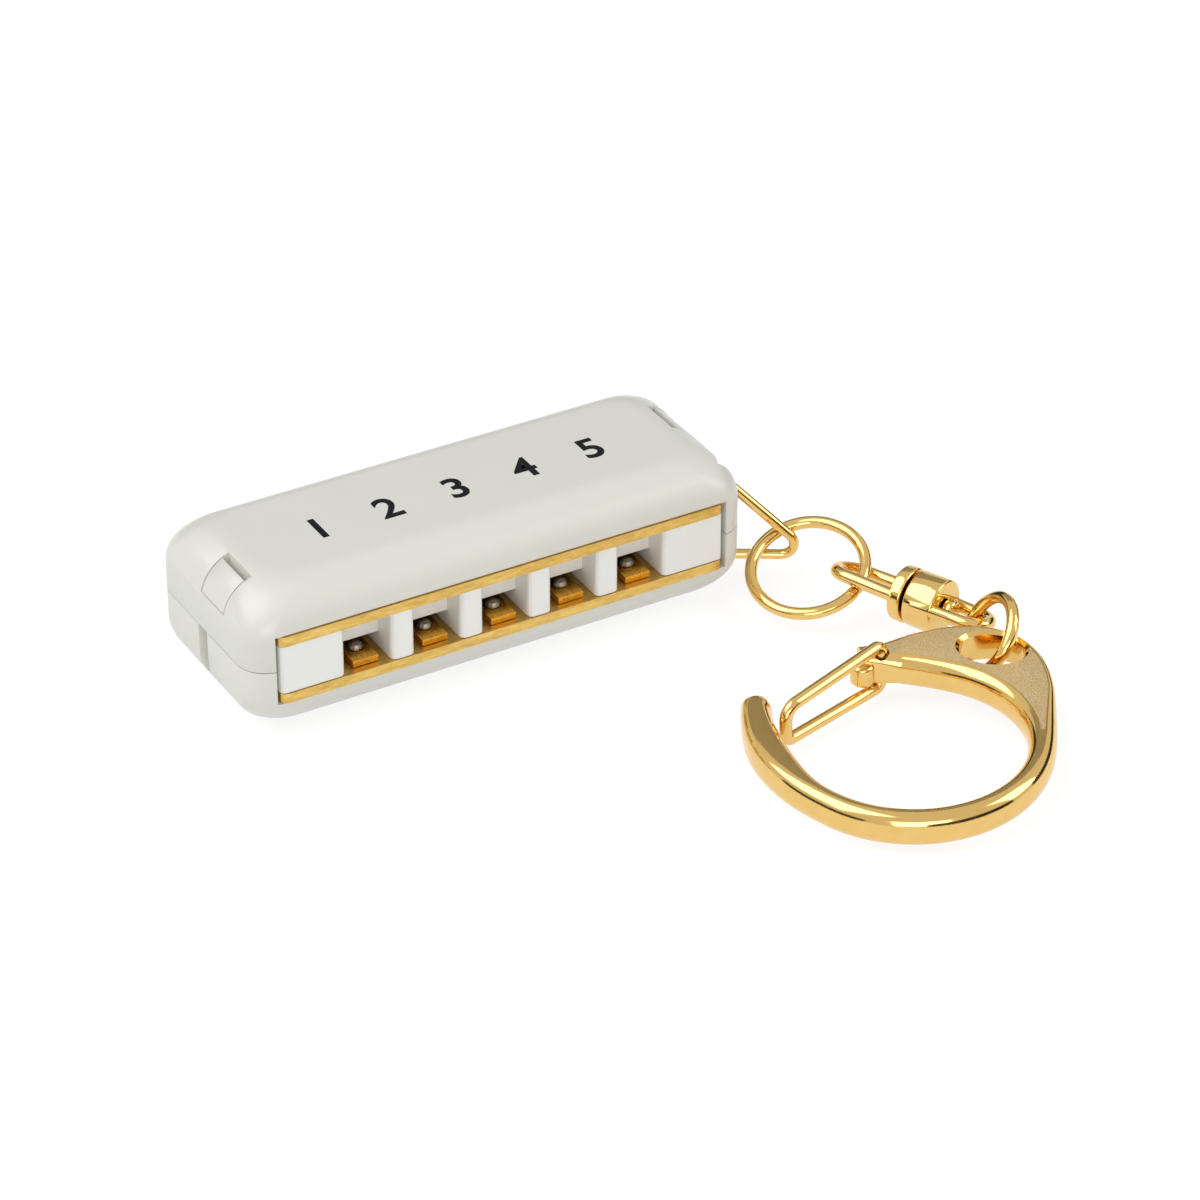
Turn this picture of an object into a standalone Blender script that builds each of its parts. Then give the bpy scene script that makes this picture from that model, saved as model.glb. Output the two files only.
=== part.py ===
"""A mini harmonica with a snap-on cover pair, a wire bail, a split ring,
a turning swivel and a round spring clasp.

Metres, +Z up. The origin is the middle of the harmonica's underside, its
long side lies along X and its mouth holes face -Y. The chain lies on the
same table as the harmonica.
"""

import math

import bmesh
import bpy
from mathutils import Matrix, Vector

# Covers
BODY_LENGTH = 0.0482
BODY_DEPTH = 0.0179
BODY_HEIGHT = 0.0135
EDGE_RADIUS = 0.0040
REAR_EDGE_RADIUS = 0.0032
FRONT_CORNER_RADIUS = 0.0028
REAR_CORNER_RADIUS = 0.0023
COVER_TOP_WALL = 0.0013
COVER_REAR_WALL = 0.0018
COVER_END_WALL = 0.0026
LIP_DEPTH = 0.0021
END_LEDGE = 0.0018
PART_LINE_GAP = 0.0001
SOUND_SLOT_LENGTH = 0.0320
SOUND_SLOT_HEIGHT = 0.0016

END_X = BODY_LENGTH / 2
FRONT_Y = -BODY_DEPTH / 2
MID_Z = BODY_HEIGHT / 2

# Comb and reed plates
SEAT = 0.00005
SLIDE_FIT = 0.00025
PLATE_OVERHANG = 0.00015
PLATE_LENGTH = BODY_LENGTH - 2 * COVER_END_WALL
PLATE_DEPTH = BODY_DEPTH + PLATE_OVERHANG - SLIDE_FIT - COVER_REAR_WALL
PLATE_THICK = 0.00093
PLATE_CORNER = 0.0008
COMB_HEIGHT = 0.00455
COMB_SETBACK = 0.0001
COMB_REAR_WALL = 0.0010
COMB_EDGE = 0.0005

# Mouth holes
HOLE_COUNT = 5
HOLE_PITCH = 0.0066
HOLE_WIDTH = 0.0044
RIB_SETBACK = 0.00267
RIB_THICK = 0.0012
RIB_GAP = 0.00155

# Reeds and their rivets
REED_PAD_SETBACK = 0.00075
REED_PAD_LENGTH = 0.0033
REED_PAD_WIDTH = 0.0024
REED_PAD_THICK = 0.00060
REED_WIDTH = 0.0019
REED_THICK = 0.00020
REED_LIFT = 0.00006
BLOW_REED_MARGIN = 0.0056
DRAW_REED_MARGIN = 0.0070
BLOW_REED_LENGTH = PLATE_DEPTH - BLOW_REED_MARGIN
DRAW_REED_LENGTH = PLATE_DEPTH - DRAW_REED_MARGIN
REED_STEP = 0.0005
REED_SLOT_FIT = 0.00020
RIVET_SETBACK = 0.00195
RIVET_HEAD_RADIUS = 0.00070
RIVET_HEAD_HEIGHT = 0.00060
RIVET_SHANK_RADIUS = 0.00028
RIVET_FIT = 0.00008

# Snap tabs and their windows at the two ends
TAB_WIDTH = 0.0040
TAB_OFFSET = 0.0017
TAB_FIT = 0.00015
TAB_ARM_THICK = 0.0008
TAB_SILL = 0.0102
TAB_TOP_INSET = 0.00215
WINDOW_TOP_INSET = 0.00285
GROOVE_WIDTH = 0.0017
GROOVE_DEPTH = 0.0007
GROOVE_OFFSET = 0.00025

# Wire bail at the right-hand end
BAIL_WIRE = 0.0009
BAIL_PIVOT_INSET = 0.0012
BAIL_PIVOT_SETBACK = 0.0042
BAIL_ANGLE = math.radians(-31.4)
BAIL_TOP_Z = 0.0107
BAIL_FOOT_Z = 0.0022
BAIL_REACH = 0.0089
BAIL_TIP_RADIUS = 0.00115
BAIL_BEND_RADIUS = 0.0008
BAIL_TOP_PIN_Z = 0.0076
BAIL_FOOT_PIN_Z = 0.0042
BAIL_HOLE_FIT = 0.00025
BAIL_POCKET_WIDTH = 0.0036
BAIL_POCKET_MIDDLE = 0.0003
BAIL_POCKET_CLEARANCE = 0.0006
BAIL_BRIDGE_TOP = 0.0083
BAIL_BRIDGE_FOOT = 0.0037

# The chain's pieces are placed from the harmonica's front right-hand corner
CHAIN_START = Vector((END_X, FRONT_Y, 0.0))
RING_OFFSET = Vector((0.0042, -0.00304, 0.00297))
SWIVEL_OFFSET = Vector((0.009557, -0.01183, 0.003121))
SMALL_RING_OFFSET = Vector((0.01139, -0.02043, 0.00346))
CLASP_OFFSET = Vector((-0.0125, -0.0363, 0.0))

# Large split ring
RING_RADIUS = 0.00503
RING_WIRE = 0.0011
RING_CENTRE = CHAIN_START + RING_OFFSET
RING_NORMAL = Vector((-0.304, -0.212, 0.929)).normalized()

# Swivel
SWIVEL_CENTRE = CHAIN_START + SWIVEL_OFFSET
SWIVEL_HEADING = math.radians(-66.5)
COLLAR_RADIUS = 0.0025
COLLAR_A_LENGTH = 0.0012
COLLAR_B_LENGTH = 0.0029
COLLAR_EDGE = 0.00015
COLLAR_GAP = 0.0003
LINK_WIRE = 0.0012
LINK_A_REACH = 0.00775
LINK_A_WIDTH = 0.00365
LINK_B_REACH = 0.00734
LINK_B_WIDTH = 0.0033
LINK_SPREAD = 0.00415
LINK_A_ROLL = math.radians(-21.5)
LINK_B_ROLL = math.radians(-15.9)
PIN_RADIUS = 0.0006
PIN_FIT = 0.00025
PIN_SEAT = 0.0001
PIN_HEAD_RADIUS = 0.00095
PIN_HEAD_LENGTH = 0.0010
PIN_TAIL_RADIUS = 0.00085
PIN_TAIL_LENGTH = 0.0005

# Small ring
SMALL_RING_RADIUS = 0.0034
SMALL_RING_WIRE = 0.0011
SMALL_RING_CENTRE = CHAIN_START + SMALL_RING_OFFSET
SMALL_RING_NORMAL = Vector((-0.823, 0.226, 0.521)).normalized()

# Clasp, in the plane it lies in: it leans on the small ring at one side
CLASP_CORNER = CHAIN_START + CLASP_OFFSET
CLASP_TILT = math.radians(2.75)
CLASP_TILT_HEADING = math.radians(32.9)
CLASP_THICK = 0.0031
CLASP_CENTRE_X = 0.01015
CLASP_CENTRE_Y = 0.0066
CLASP_INNER_RADIUS = 0.0096
CLASP_TUBE_WIDTH = 0.0023
CLASP_ROUNDING = 0.0011
CLASP_ROUNDING_RISE = 0.00145
CLASP_PLATE_ROUNDING = 0.0006
HINGE_ROUNDING = 0.0005

# Clasp plan: angles in degrees round its centre, from the nose to the hinge
NOSE_ANGLE = 129.0
NOSE_FLARE = 0.0026
NOSE_FLARE_FROM = 176.0
NOSE_SWELL = 0.0009
NOSE_SWELL_FROM = 200.0
NOSE_SWELL_TO = 105.0
HINGE_ANGLE = 437.5
HINGE_FLARE = 0.0015
HINGE_SWELL = 0.0008
HINGE_FLARE_FROM = 396.0
HINGE_SQUARE_FROM = 422.0
PLATE_ANGLE = 389.0
PLATE_REACH = 0.00505
PLATE_SPREAD_BEFORE = 32.5
PLATE_SPREAD_AFTER = 31.0
EYE_CENTRE_X = 0.0225
EYE_CENTRE_Y = 0.0131
EYE_LONG = 0.00285
EYE_SHORT = 0.0022
EYE_TURN = math.radians(-43.0)
EYE_CHAMFER = 0.0003
KNOB_RADIUS = 0.00105
KNOB_X = 0.01245
KNOB_Y = 0.0177
KNOB_TOP = 0.0024

# Clasp gate
GATE_WIRE = 0.0011
GATE_HINGE_X = 0.0141
GATE_HINGE_Y = 0.0174
GATE_END_X = 0.00278
GATE_END_Y = 0.01436
GATE_RELIEF = 0.0004
GATE_CLEARANCE = 0.00025
GATE_BEND_RADIUS = 0.0007
GATE_TIP_RADIUS = 0.0013
GATE_END_RISE = 0.0005
GATE_PIN_LENGTH = 0.0011
GATE_PIN_FIT = 0.00018

PLATE_FRONT = FRONT_Y - PLATE_OVERHANG
COMB_FOOT = MID_Z - COMB_HEIGHT / 2
COMB_TOP = MID_Z + COMB_HEIGHT / 2
LOWER_TOP = COMB_FOOT - SEAT
LOWER_FOOT = LOWER_TOP - PLATE_THICK
UPPER_FOOT = COMB_TOP + SEAT
UPPER_TOP = UPPER_FOOT + PLATE_THICK
BAY_HALF = PLATE_LENGTH / 2 + SLIDE_FIT
BAY_REAR = PLATE_FRONT + PLATE_DEPTH + SLIDE_FIT

PARTS = bpy.data.collections.new("mini_harmonica")
CUTTERS = bpy.data.collections.new("cutters")


def clear_scene():
    for item in list(bpy.data.objects):
        bpy.data.objects.remove(item, do_unlink=True)
    for group in (PARTS, CUTTERS):
        bpy.context.scene.collection.children.link(group)


def material(name, colour, roughness, metallic):
    mat = bpy.data.materials.new(name)
    mat.use_nodes = True
    shader = mat.node_tree.nodes["Principled BSDF"]
    shader.inputs["Base Color"].default_value = (*colour, 1.0)
    shader.inputs["Roughness"].default_value = roughness
    shader.inputs["Metallic"].default_value = metallic
    return mat


def mesh_object(name, bm):
    """A new object in the parts collection from a bmesh, normals outward."""
    bmesh.ops.recalc_face_normals(bm, faces=bm.faces)
    mesh = bpy.data.meshes.new(name)
    bm.to_mesh(mesh)
    bm.free()
    obj = bpy.data.objects.new(name, mesh)
    PARTS.objects.link(obj)
    return obj


def box(name, low, high):
    """An axis-aligned box between two corners."""
    bm = bmesh.new()
    bmesh.ops.create_cube(bm, size=1.0)
    low = Vector(low)
    high = Vector(high)
    bmesh.ops.scale(bm, vec=high - low, verts=bm.verts)
    bmesh.ops.translate(bm, vec=(low + high) / 2, verts=bm.verts)
    return mesh_object(name, bm)


def cylinder(name, radius, low, high, centre=(0.0, 0.0), sides=24):
    """An upright cylinder between two heights."""
    bm = bmesh.new()
    bmesh.ops.create_cone(bm, cap_ends=True, segments=sides, radius1=radius,
                          radius2=radius, depth=high - low)
    shift = Vector((centre[0], centre[1], (low + high) / 2))
    bmesh.ops.translate(bm, vec=shift, verts=bm.verts)
    return mesh_object(name, bm)


def as_mesh(obj, name):
    """The evaluated shape of an object as a welded mesh of its own."""
    bpy.context.view_layer.update()
    graph = bpy.context.evaluated_depsgraph_get()
    mesh = bpy.data.meshes.new_from_object(obj.evaluated_get(graph))
    bm = bmesh.new()
    bm.from_mesh(mesh)
    bmesh.ops.remove_doubles(bm, verts=bm.verts, dist=0.000001)
    bmesh.ops.dissolve_limit(bm, angle_limit=0.0005, verts=bm.verts, edges=bm.edges)
    bmesh.ops.recalc_face_normals(bm, faces=bm.faces)
    bm.to_mesh(mesh)
    bm.free()
    world = obj.matrix_world.copy()
    bpy.data.objects.remove(obj, do_unlink=True)
    mesh.name = name
    result = bpy.data.objects.new(name, mesh)
    result.matrix_world = world
    PARTS.objects.link(result)
    return result


def outline(name, points, low, high):
    """A flat closed outline in the XY plane, given thickness between two heights."""
    curve = bpy.data.curves.new(name, "CURVE")
    curve.dimensions = "2D"
    curve.fill_mode = "BOTH"
    curve.extrude = (high - low) / 2
    spline = curve.splines.new("POLY")
    spline.points.add(len(points) - 1)
    for point, (x, y) in zip(spline.points, points):
        point.co = (x, y, 0.0, 1.0)
    spline.use_cyclic_u = True
    obj = bpy.data.objects.new(name, curve)
    obj.location.z = (low + high) / 2
    PARTS.objects.link(obj)
    obj = as_mesh(obj, name)
    obj.data.transform(Matrix.Translation((0.0, 0.0, obj.location.z)))
    obj.location.z = 0.0
    return obj


def wire(name, points, diameter, frame=None, resolution=3):
    """A round wire along a row of points, with flat ends."""
    curve = bpy.data.curves.new(name, "CURVE")
    curve.dimensions = "3D"
    curve.bevel_depth = diameter / 2
    curve.bevel_resolution = resolution
    curve.use_fill_caps = True
    spline = curve.splines.new("POLY")
    spline.points.add(len(points) - 1)
    for point, place in zip(spline.points, points):
        point.co = (*place, 1.0)
    obj = bpy.data.objects.new(name, curve)
    PARTS.objects.link(obj)
    obj = as_mesh(obj, name)
    if frame is not None:
        obj.data.transform(frame)
    return obj


def turned(name, profile, frame=None, steps=24):
    """A turned shape: the profile (radius, height) runs down the outer side."""
    mesh = bpy.data.meshes.new(name)
    verts = [(radius, 0.0, height) for radius, height in profile]
    mesh.from_pydata(verts, [(i, i + 1) for i in range(len(verts) - 1)], [])
    obj = bpy.data.objects.new(name, mesh)
    PARTS.objects.link(obj)
    screw = obj.modifiers.new("Screw", "SCREW")
    screw.steps = steps
    screw.render_steps = steps
    screw.use_merge_vertices = True
    screw.merge_threshold = 0.000001
    obj = as_mesh(obj, name)
    if frame is not None:
        obj.data.transform(frame)
    return obj


def ring(name, radius, diameter, centre, normal, segments, sides):
    """A round ring of wire about an axis through its centre."""
    bpy.ops.mesh.primitive_torus_add(major_segments=segments, minor_segments=sides,
                                     major_radius=radius, minor_radius=diameter / 2)
    obj = bpy.context.active_object
    for group in list(obj.users_collection):
        group.objects.unlink(obj)
    PARTS.objects.link(obj)
    obj.name = name
    turn = Vector((0.0, 0.0, 1.0)).rotation_difference(normal)
    obj.data.transform(turn.to_matrix().to_4x4())
    obj.location = centre
    return obj


def boolean(obj, other, operation):
    """Cut, join or intersect an object with another, which becomes a cutter."""
    for group in list(other.users_collection):
        group.objects.unlink(other)
    CUTTERS.objects.link(other)
    other.hide_render = True
    other.display_type = "WIRE"
    step = obj.modifiers.new(operation.title(), "BOOLEAN")
    step.operation = operation
    step.object = other
    step.solver = "EXACT"
    return obj


def bevel(obj, width, segments=2, angle=40.0):
    step = obj.modifiers.new("Bevel", "BEVEL")
    step.width = width
    step.segments = segments
    step.limit_method = "ANGLE"
    step.angle_limit = math.radians(angle)
    return obj


def smooth(obj, angle=35.0):
    obj.data.shade_smooth()
    obj.data.set_sharp_from_angle(angle=math.radians(angle))
    return obj


def paint(obj, mat):
    obj.data.materials.clear()
    obj.data.materials.append(mat)
    return obj


def set_origin(obj, point):
    """Move an object's origin to a world point without moving its shape."""
    bpy.context.view_layer.update()
    local = obj.matrix_world.inverted() @ Vector(point)
    obj.data.transform(Matrix.Translation(-local))
    obj.matrix_world = obj.matrix_world @ Matrix.Translation(local)
    return obj


def attach(child, parent):
    """Parent one object to another where it stands."""
    bpy.context.view_layer.update()
    child.parent = parent
    child.matrix_parent_inverse = parent.matrix_world.inverted()
    return child


def rounded_path(corners, radii, step=math.radians(15.0)):
    """A row of points through corners, each corner turned with its radius."""
    points = [Vector(corners[0])]
    for i in range(1, len(corners) - 1):
        corner = Vector(corners[i])
        back = (Vector(corners[i - 1]) - corner).normalized()
        ahead = (Vector(corners[i + 1]) - corner).normalized()
        opening = back.angle(ahead)
        radius = radii[i - 1]
        run = radius / math.tan(opening / 2)
        middle = corner + (back + ahead).normalized() * radius / math.sin(opening / 2)
        start = corner + back * run - middle
        turn = math.pi - opening
        count = max(2, math.ceil(turn / step))
        axis = start.cross(corner + ahead * run - middle).normalized()
        for k in range(count + 1):
            points.append(middle + Matrix.Rotation(turn * k / count, 3, axis) @ start)
    points.append(Vector(corners[-1]))
    return points


def hole_centres():
    half = (HOLE_COUNT - 1) / 2
    return [(i - half) * HOLE_PITCH for i in range(HOLE_COUNT)]


def rounded_rectangle(x0, x1, y0, y1, left, right, steps=3):
    """A rectangle with oval corners, left and right ones given as (width, height)."""
    points = []
    corners = ((x1 - right[0], y1 - right[1], right, 0), (x0 + left[0], y1 - left[1], left, 90),
               (x0 + left[0], y0 + left[1], left, 180), (x1 - right[0], y0 + right[1], right, 270))
    for x, y, (wide, high), start in corners:
        for k in range(steps + 1):
            a = math.radians(start + 90 * k / steps)
            points.append((x + wide * math.cos(a), y + high * math.sin(a)))
    return points


def loft(name, rows):
    """A closed skin laid over rows of points, its two ends capped."""
    bm = bmesh.new()
    rings = [[bm.verts.new(point) for point in row] for row in rows]
    for near, far in zip(rings, rings[1:]):
        for i in range(len(near)):
            j = (i + 1) % len(near)
            bm.faces.new((near[i], near[j], far[j], far[i]))
    bm.faces.new(rings[0])
    bm.faces.new(rings[-1])
    return mesh_object(name, bm)


# Comb

def comb_outline():
    """Plan of the comb: a rear wall and teeth with rounded front edges."""
    front = PLATE_FRONT + COMB_SETBACK
    rear = PLATE_FRONT + PLATE_DEPTH - COMB_SETBACK
    end = PLATE_LENGTH / 2 - COMB_SETBACK
    root = rear - COMB_REAR_WALL
    edges = [-end]
    for x in hole_centres():
        edges += [x - HOLE_WIDTH / 2, x + HOLE_WIDTH / 2]
    edges.append(end)
    points = []
    for left, right in zip(edges[0::2], edges[1::2]):
        if left > -end:
            points.append((left, root))
        for k in range(4):
            a = math.radians(180 + 30 * k)
            points.append((left + COMB_EDGE + COMB_EDGE * math.cos(a),
                           front + COMB_EDGE + COMB_EDGE * math.sin(a)))
        for k in range(4):
            a = math.radians(270 + 30 * k)
            points.append((right - COMB_EDGE + COMB_EDGE * math.cos(a),
                           front + COMB_EDGE + COMB_EDGE * math.sin(a)))
        if right < end:
            points.append((right, root))
    points += [(end, rear), (-end, rear)]
    return points


def build_comb(mat):
    comb = outline("comb", comb_outline(), COMB_FOOT, COMB_TOP)
    y = PLATE_FRONT + RIB_SETBACK
    for i, x in enumerate(hole_centres()):
        reach = HOLE_WIDTH / 2 + COMB_EDGE
        rib = box(f"rib_{i + 1}", (x - reach, y, COMB_FOOT + RIB_GAP),
                  (x + reach, y + RIB_THICK, COMB_TOP))
        boolean(comb, rib, "UNION")
    return paint(comb, mat)


# Reed plates, reeds and rivets

def reed_layout(blow):
    """For each reed: x, pad front and rear y, rivet y, tongue tip y."""
    rows = []
    for i, x in enumerate(hole_centres()):
        if blow:
            pad = PLATE_FRONT + REED_PAD_SETBACK
            rear = pad + REED_PAD_LENGTH
            tip = rear + BLOW_REED_LENGTH - i * REED_STEP
            rows.append((x, pad, rear, pad + RIVET_SETBACK, tip))
        else:
            rear = PLATE_FRONT + PLATE_DEPTH - REED_PAD_SETBACK
            pad = rear - REED_PAD_LENGTH
            tip = pad - DRAW_REED_LENGTH + i * REED_STEP
            rows.append((x, pad, rear, rear - RIVET_SETBACK, tip))
    return rows


def build_plate(name, foot, top, blow, mat):
    half = PLATE_LENGTH / 2
    corner = (PLATE_CORNER, PLATE_CORNER)
    points = rounded_rectangle(-half, half, PLATE_FRONT, PLATE_FRONT + PLATE_DEPTH,
                               corner, corner)
    plate = outline(name, points, foot, top)
    for i, (x, pad, rear, rivet, tip) in enumerate(reed_layout(blow)):
        wide = REED_WIDTH / 2 + REED_SLOT_FIT
        if blow:
            ends = (rear, tip + REED_SLOT_FIT)
        else:
            ends = (tip - REED_SLOT_FIT, pad)
        slot = box(f"{name}_slot_{i + 1}", (x - wide, ends[0], foot - PLATE_THICK),
                   (x + wide, ends[1], top + PLATE_THICK))
        boolean(plate, slot, "DIFFERENCE")
        bore = cylinder(f"{name}_bore_{i + 1}", RIVET_SHANK_RADIUS + RIVET_FIT,
                        foot - PLATE_THICK, top + PLATE_THICK, (x, rivet), 10)
        boolean(plate, bore, "DIFFERENCE")
    return paint(plate, mat)


def build_reeds(kind, seat, blow, reed_mat, rivet_mat):
    """Reeds riveted on a plate's upper face, with their rivets."""
    made = []
    foot = seat + REED_LIFT
    for i, (x, pad, rear, rivet_y, tip) in enumerate(reed_layout(blow)):
        reed = box(f"{kind}_reed_{i + 1}", (x - REED_PAD_WIDTH / 2, pad, foot),
                   (x + REED_PAD_WIDTH / 2, rear, foot + REED_PAD_THICK))
        tongue = box(f"{kind}_tongue_{i + 1}",
                     (x - REED_WIDTH / 2, min(rivet_y, tip), foot),
                     (x + REED_WIDTH / 2, max(rivet_y, tip), foot + REED_THICK))
        boolean(reed, tongue, "UNION")
        bore = cylinder(f"{kind}_reed_bore_{i + 1}", RIVET_SHANK_RADIUS + RIVET_FIT,
                        foot - REED_PAD_THICK, foot + 2 * REED_PAD_THICK,
                        (x, rivet_y), 10)
        boolean(reed, bore, "DIFFERENCE")
        paint(reed, reed_mat)
        root = rear if blow else pad
        set_origin(reed, (x, root, foot))
        head = foot + REED_PAD_THICK + REED_LIFT
        tail = seat - PLATE_THICK + SEAT
        dome = []
        for k in range(4):
            a = math.radians(90 - 25 * k)
            dome.append((RIVET_HEAD_RADIUS * math.cos(a),
                         head + RIVET_HEAD_HEIGHT * math.sin(a)))
        profile = dome + [(RIVET_HEAD_RADIUS, head), (RIVET_SHANK_RADIUS, head),
                          (RIVET_SHANK_RADIUS, tail), (0.0, tail)]
        rivet = turned(f"{kind}_rivet_{i + 1}", profile,
                       Matrix.Translation((x, rivet_y, 0.0)), 12)
        smooth(paint(rivet, rivet_mat))
        made.append((reed, rivet))
    return made


# Covers

def shell_blank(name, shrink=0.0):
    """The outer form of both covers in one: a box with rounded edges."""
    low = Vector((-END_X, FRONT_Y, 0.0))
    high = Vector((END_X, -FRONT_Y, BODY_HEIGHT))
    inset = Vector((shrink, shrink, shrink))
    blank = box(name, low + inset, high - inset)
    mesh = blank.data
    weights = mesh.attributes.new("bevel_weight_edge", "FLOAT", "EDGE")
    for edge in mesh.edges:
        a, b = (mesh.vertices[i].co for i in edge.vertices)
        if abs(a.z - b.z) > 0.001:
            radius = FRONT_CORNER_RADIUS if a.y < 0 else REAR_CORNER_RADIUS
        elif a.y > 0 and b.y > 0:
            radius = REAR_EDGE_RADIUS
        else:
            radius = EDGE_RADIUS
        weights.data[edge.index].value = radius / EDGE_RADIUS
    step = blank.modifiers.new("Bevel", "BEVEL")
    step.width = EDGE_RADIUS
    step.segments = 7
    step.limit_method = "WEIGHT"
    return as_mesh(blank, name)


def end_tab_span(side):
    """The y range of the snap tab at one end: side is -1 left, +1 right."""
    middle = side * TAB_OFFSET
    return middle - TAB_WIDTH / 2, middle + TAB_WIDTH / 2


def end_slab(name, side, x_from, x_to, low, high, y0, y1):
    """A box at one end, its x given as distances in from the end face."""
    xs = sorted((side * (END_X - x_from), side * (END_X - x_to)))
    return box(name, (xs[0], y0, low), (xs[1], y1, high))


def cut_interior(cover, top):
    """Comb bay, reed space and rear sound slot of one cover."""
    far = BODY_LENGTH
    tag = "top" if top else "bottom"
    ledge = UPPER_TOP + SEAT if top else LOWER_FOOT - SEAT
    crown = BODY_HEIGHT - COVER_TOP_WALL if top else COVER_TOP_WALL
    inward = -1 if top else 1
    bay = sorted((MID_Z + inward * PLATE_THICK, ledge))
    boolean(cover, box(f"{tag}_bay", (-BAY_HALF, -far, bay[0]),
                       (BAY_HALF, BAY_REAR, bay[1])), "DIFFERENCE")
    space = sorted((MID_Z, crown))
    inner = PLATE_LENGTH / 2 - END_LEDGE
    boolean(cover, box(f"{tag}_reed_space",
                       (-inner, FRONT_Y + LIP_DEPTH, space[0]),
                       (inner, BAY_REAR, space[1])), "DIFFERENCE")
    slot = sorted((crown, crown + inward * SOUND_SLOT_HEIGHT))
    boolean(cover, box(f"{tag}_sound_slot",
                       (-SOUND_SLOT_LENGTH / 2, BAY_REAR - COVER_REAR_WALL, slot[0]),
                       (SOUND_SLOT_LENGTH / 2, far, slot[1])), "DIFFERENCE")


def bail_pivot():
    return Vector((END_X - BAIL_PIVOT_INSET, FRONT_Y + BAIL_PIVOT_SETBACK, 0.0))


def cut_bail_pocket(cover, top):
    """The recess that a bail leg turns in, and the hole for its pin."""
    pivot = bail_pivot()
    middle = pivot.y + BAIL_POCKET_MIDDLE
    y0 = middle - BAIL_POCKET_WIDTH / 2
    y1 = middle + BAIL_POCKET_WIDTH / 2
    depth = END_X - BAY_HALF + SLIDE_FIT
    if top:
        low = BAIL_BRIDGE_TOP
        high = BAIL_TOP_Z + BAIL_WIRE / 2 + 2 * BAIL_POCKET_CLEARANCE
    else:
        low = BAIL_FOOT_Z - BAIL_WIRE / 2 - BAIL_POCKET_CLEARANCE
        high = BAIL_BRIDGE_FOOT
    tag = "top" if top else "bottom"
    boolean(cover, end_slab(f"{tag}_bail_pocket", 1, -0.002, depth, low, high, y0, y1),
            "DIFFERENCE")
    reach = BAIL_BRIDGE_TOP - BAIL_BRIDGE_FOOT
    hole = cylinder(f"{tag}_bail_hole", BAIL_WIRE / 2 + BAIL_HOLE_FIT,
                    MID_Z - reach, MID_Z + reach, (pivot.x, pivot.y), 16)
    boolean(cover, hole, "DIFFERENCE")


def build_top_cover(mat):
    cover = shell_blank("top_cover")
    far = BODY_LENGTH
    lower = box("top_cover_below", (-far, -far, -far),
                (far, far, MID_Z + PART_LINE_GAP / 2))
    boolean(cover, lower, "DIFFERENCE")
    cut_interior(cover, True)
    for side in (-1, 1):
        y0, y1 = end_tab_span(side)
        y0 -= TAB_FIT
        y1 += TAB_FIT
        shaft_in = END_X - BAY_HALF + SLIDE_FIT
        arm_out = TAB_TOP_INSET - TAB_ARM_THICK - TAB_FIT
        boolean(cover, end_slab(f"tab_shaft_{side}", side, arm_out, shaft_in,
                                MID_Z - 0.001, TAB_SILL + TAB_FIT, y0, y1),
                "DIFFERENCE")
        boolean(cover, end_slab(f"tab_window_{side}", side, -0.002, WINDOW_TOP_INSET,
                                TAB_SILL, far, y0, y1), "DIFFERENCE")
    cut_bail_pocket(cover, True)
    return smooth(paint(cover, mat))


def build_bottom_cover(mat):
    cover = shell_blank("bottom_cover")
    far = BODY_LENGTH
    upper = box("bottom_cover_above", (-far, -far, MID_Z - PART_LINE_GAP / 2),
                (far, far, far))
    boolean(cover, upper, "DIFFERENCE")
    cut_interior(cover, False)
    cut_bail_pocket(cover, False)
    for side in (-1, 1):
        y0, y1 = end_tab_span(side)
        groove = -side * GROOVE_OFFSET
        boolean(cover, end_slab(f"end_groove_{side}", side, -0.002, GROOVE_DEPTH,
                                -far, far, groove - GROOVE_WIDTH / 2,
                                groove + GROOVE_WIDTH / 2), "DIFFERENCE")
        arm_out = TAB_TOP_INSET - TAB_ARM_THICK
        arm = end_slab(f"tab_arm_{side}", side, arm_out, TAB_TOP_INSET,
                       MID_Z - 0.002, TAB_SILL + 3 * TAB_FIT, y0, y1)
        boolean(cover, arm, "UNION")
        head = shell_blank(f"tab_head_{side}", TAB_FIT / 3)
        keep = end_slab(f"tab_head_keep_{side}", side, -0.002, TAB_TOP_INSET,
                        TAB_SILL + TAB_FIT, far, y0, y1)
        boolean(head, keep, "INTERSECT")
        boolean(cover, head, "UNION")
    return smooth(paint(cover, mat))


# Bail and large ring

def build_bail(mat):
    """A bent wire: pin, upper leg, rounded tip, lower leg, pin."""
    pivot = bail_pivot()
    out = Vector((math.cos(BAIL_ANGLE), math.sin(BAIL_ANGLE), 0.0))
    up = Vector((0.0, 0.0, 1.0))
    corners = [pivot + up * BAIL_TOP_PIN_Z, pivot + up * BAIL_TOP_Z,
               pivot + out * BAIL_REACH + up * BAIL_FOOT_Z,
               pivot + up * BAIL_FOOT_Z, pivot + up * BAIL_FOOT_PIN_Z]
    radii = [BAIL_BEND_RADIUS, BAIL_TIP_RADIUS, BAIL_BEND_RADIUS]
    bail = wire("wire_bail", rounded_path(corners, radii), BAIL_WIRE)
    smooth(paint(bail, mat))
    return set_origin(bail, pivot + up * MID_Z)


def ring_point():
    """Where the large ring's wire runs through the swivel's first eye."""
    along = Vector((math.cos(SWIVEL_HEADING), math.sin(SWIVEL_HEADING), 0.0))
    eye = SWIVEL_CENTRE - along * (LINK_A_REACH - LINK_A_WIDTH / 2)
    out = eye - RING_CENTRE
    out -= RING_NORMAL * out.dot(RING_NORMAL)
    return RING_CENTRE + out.normalized() * RING_RADIUS


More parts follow.
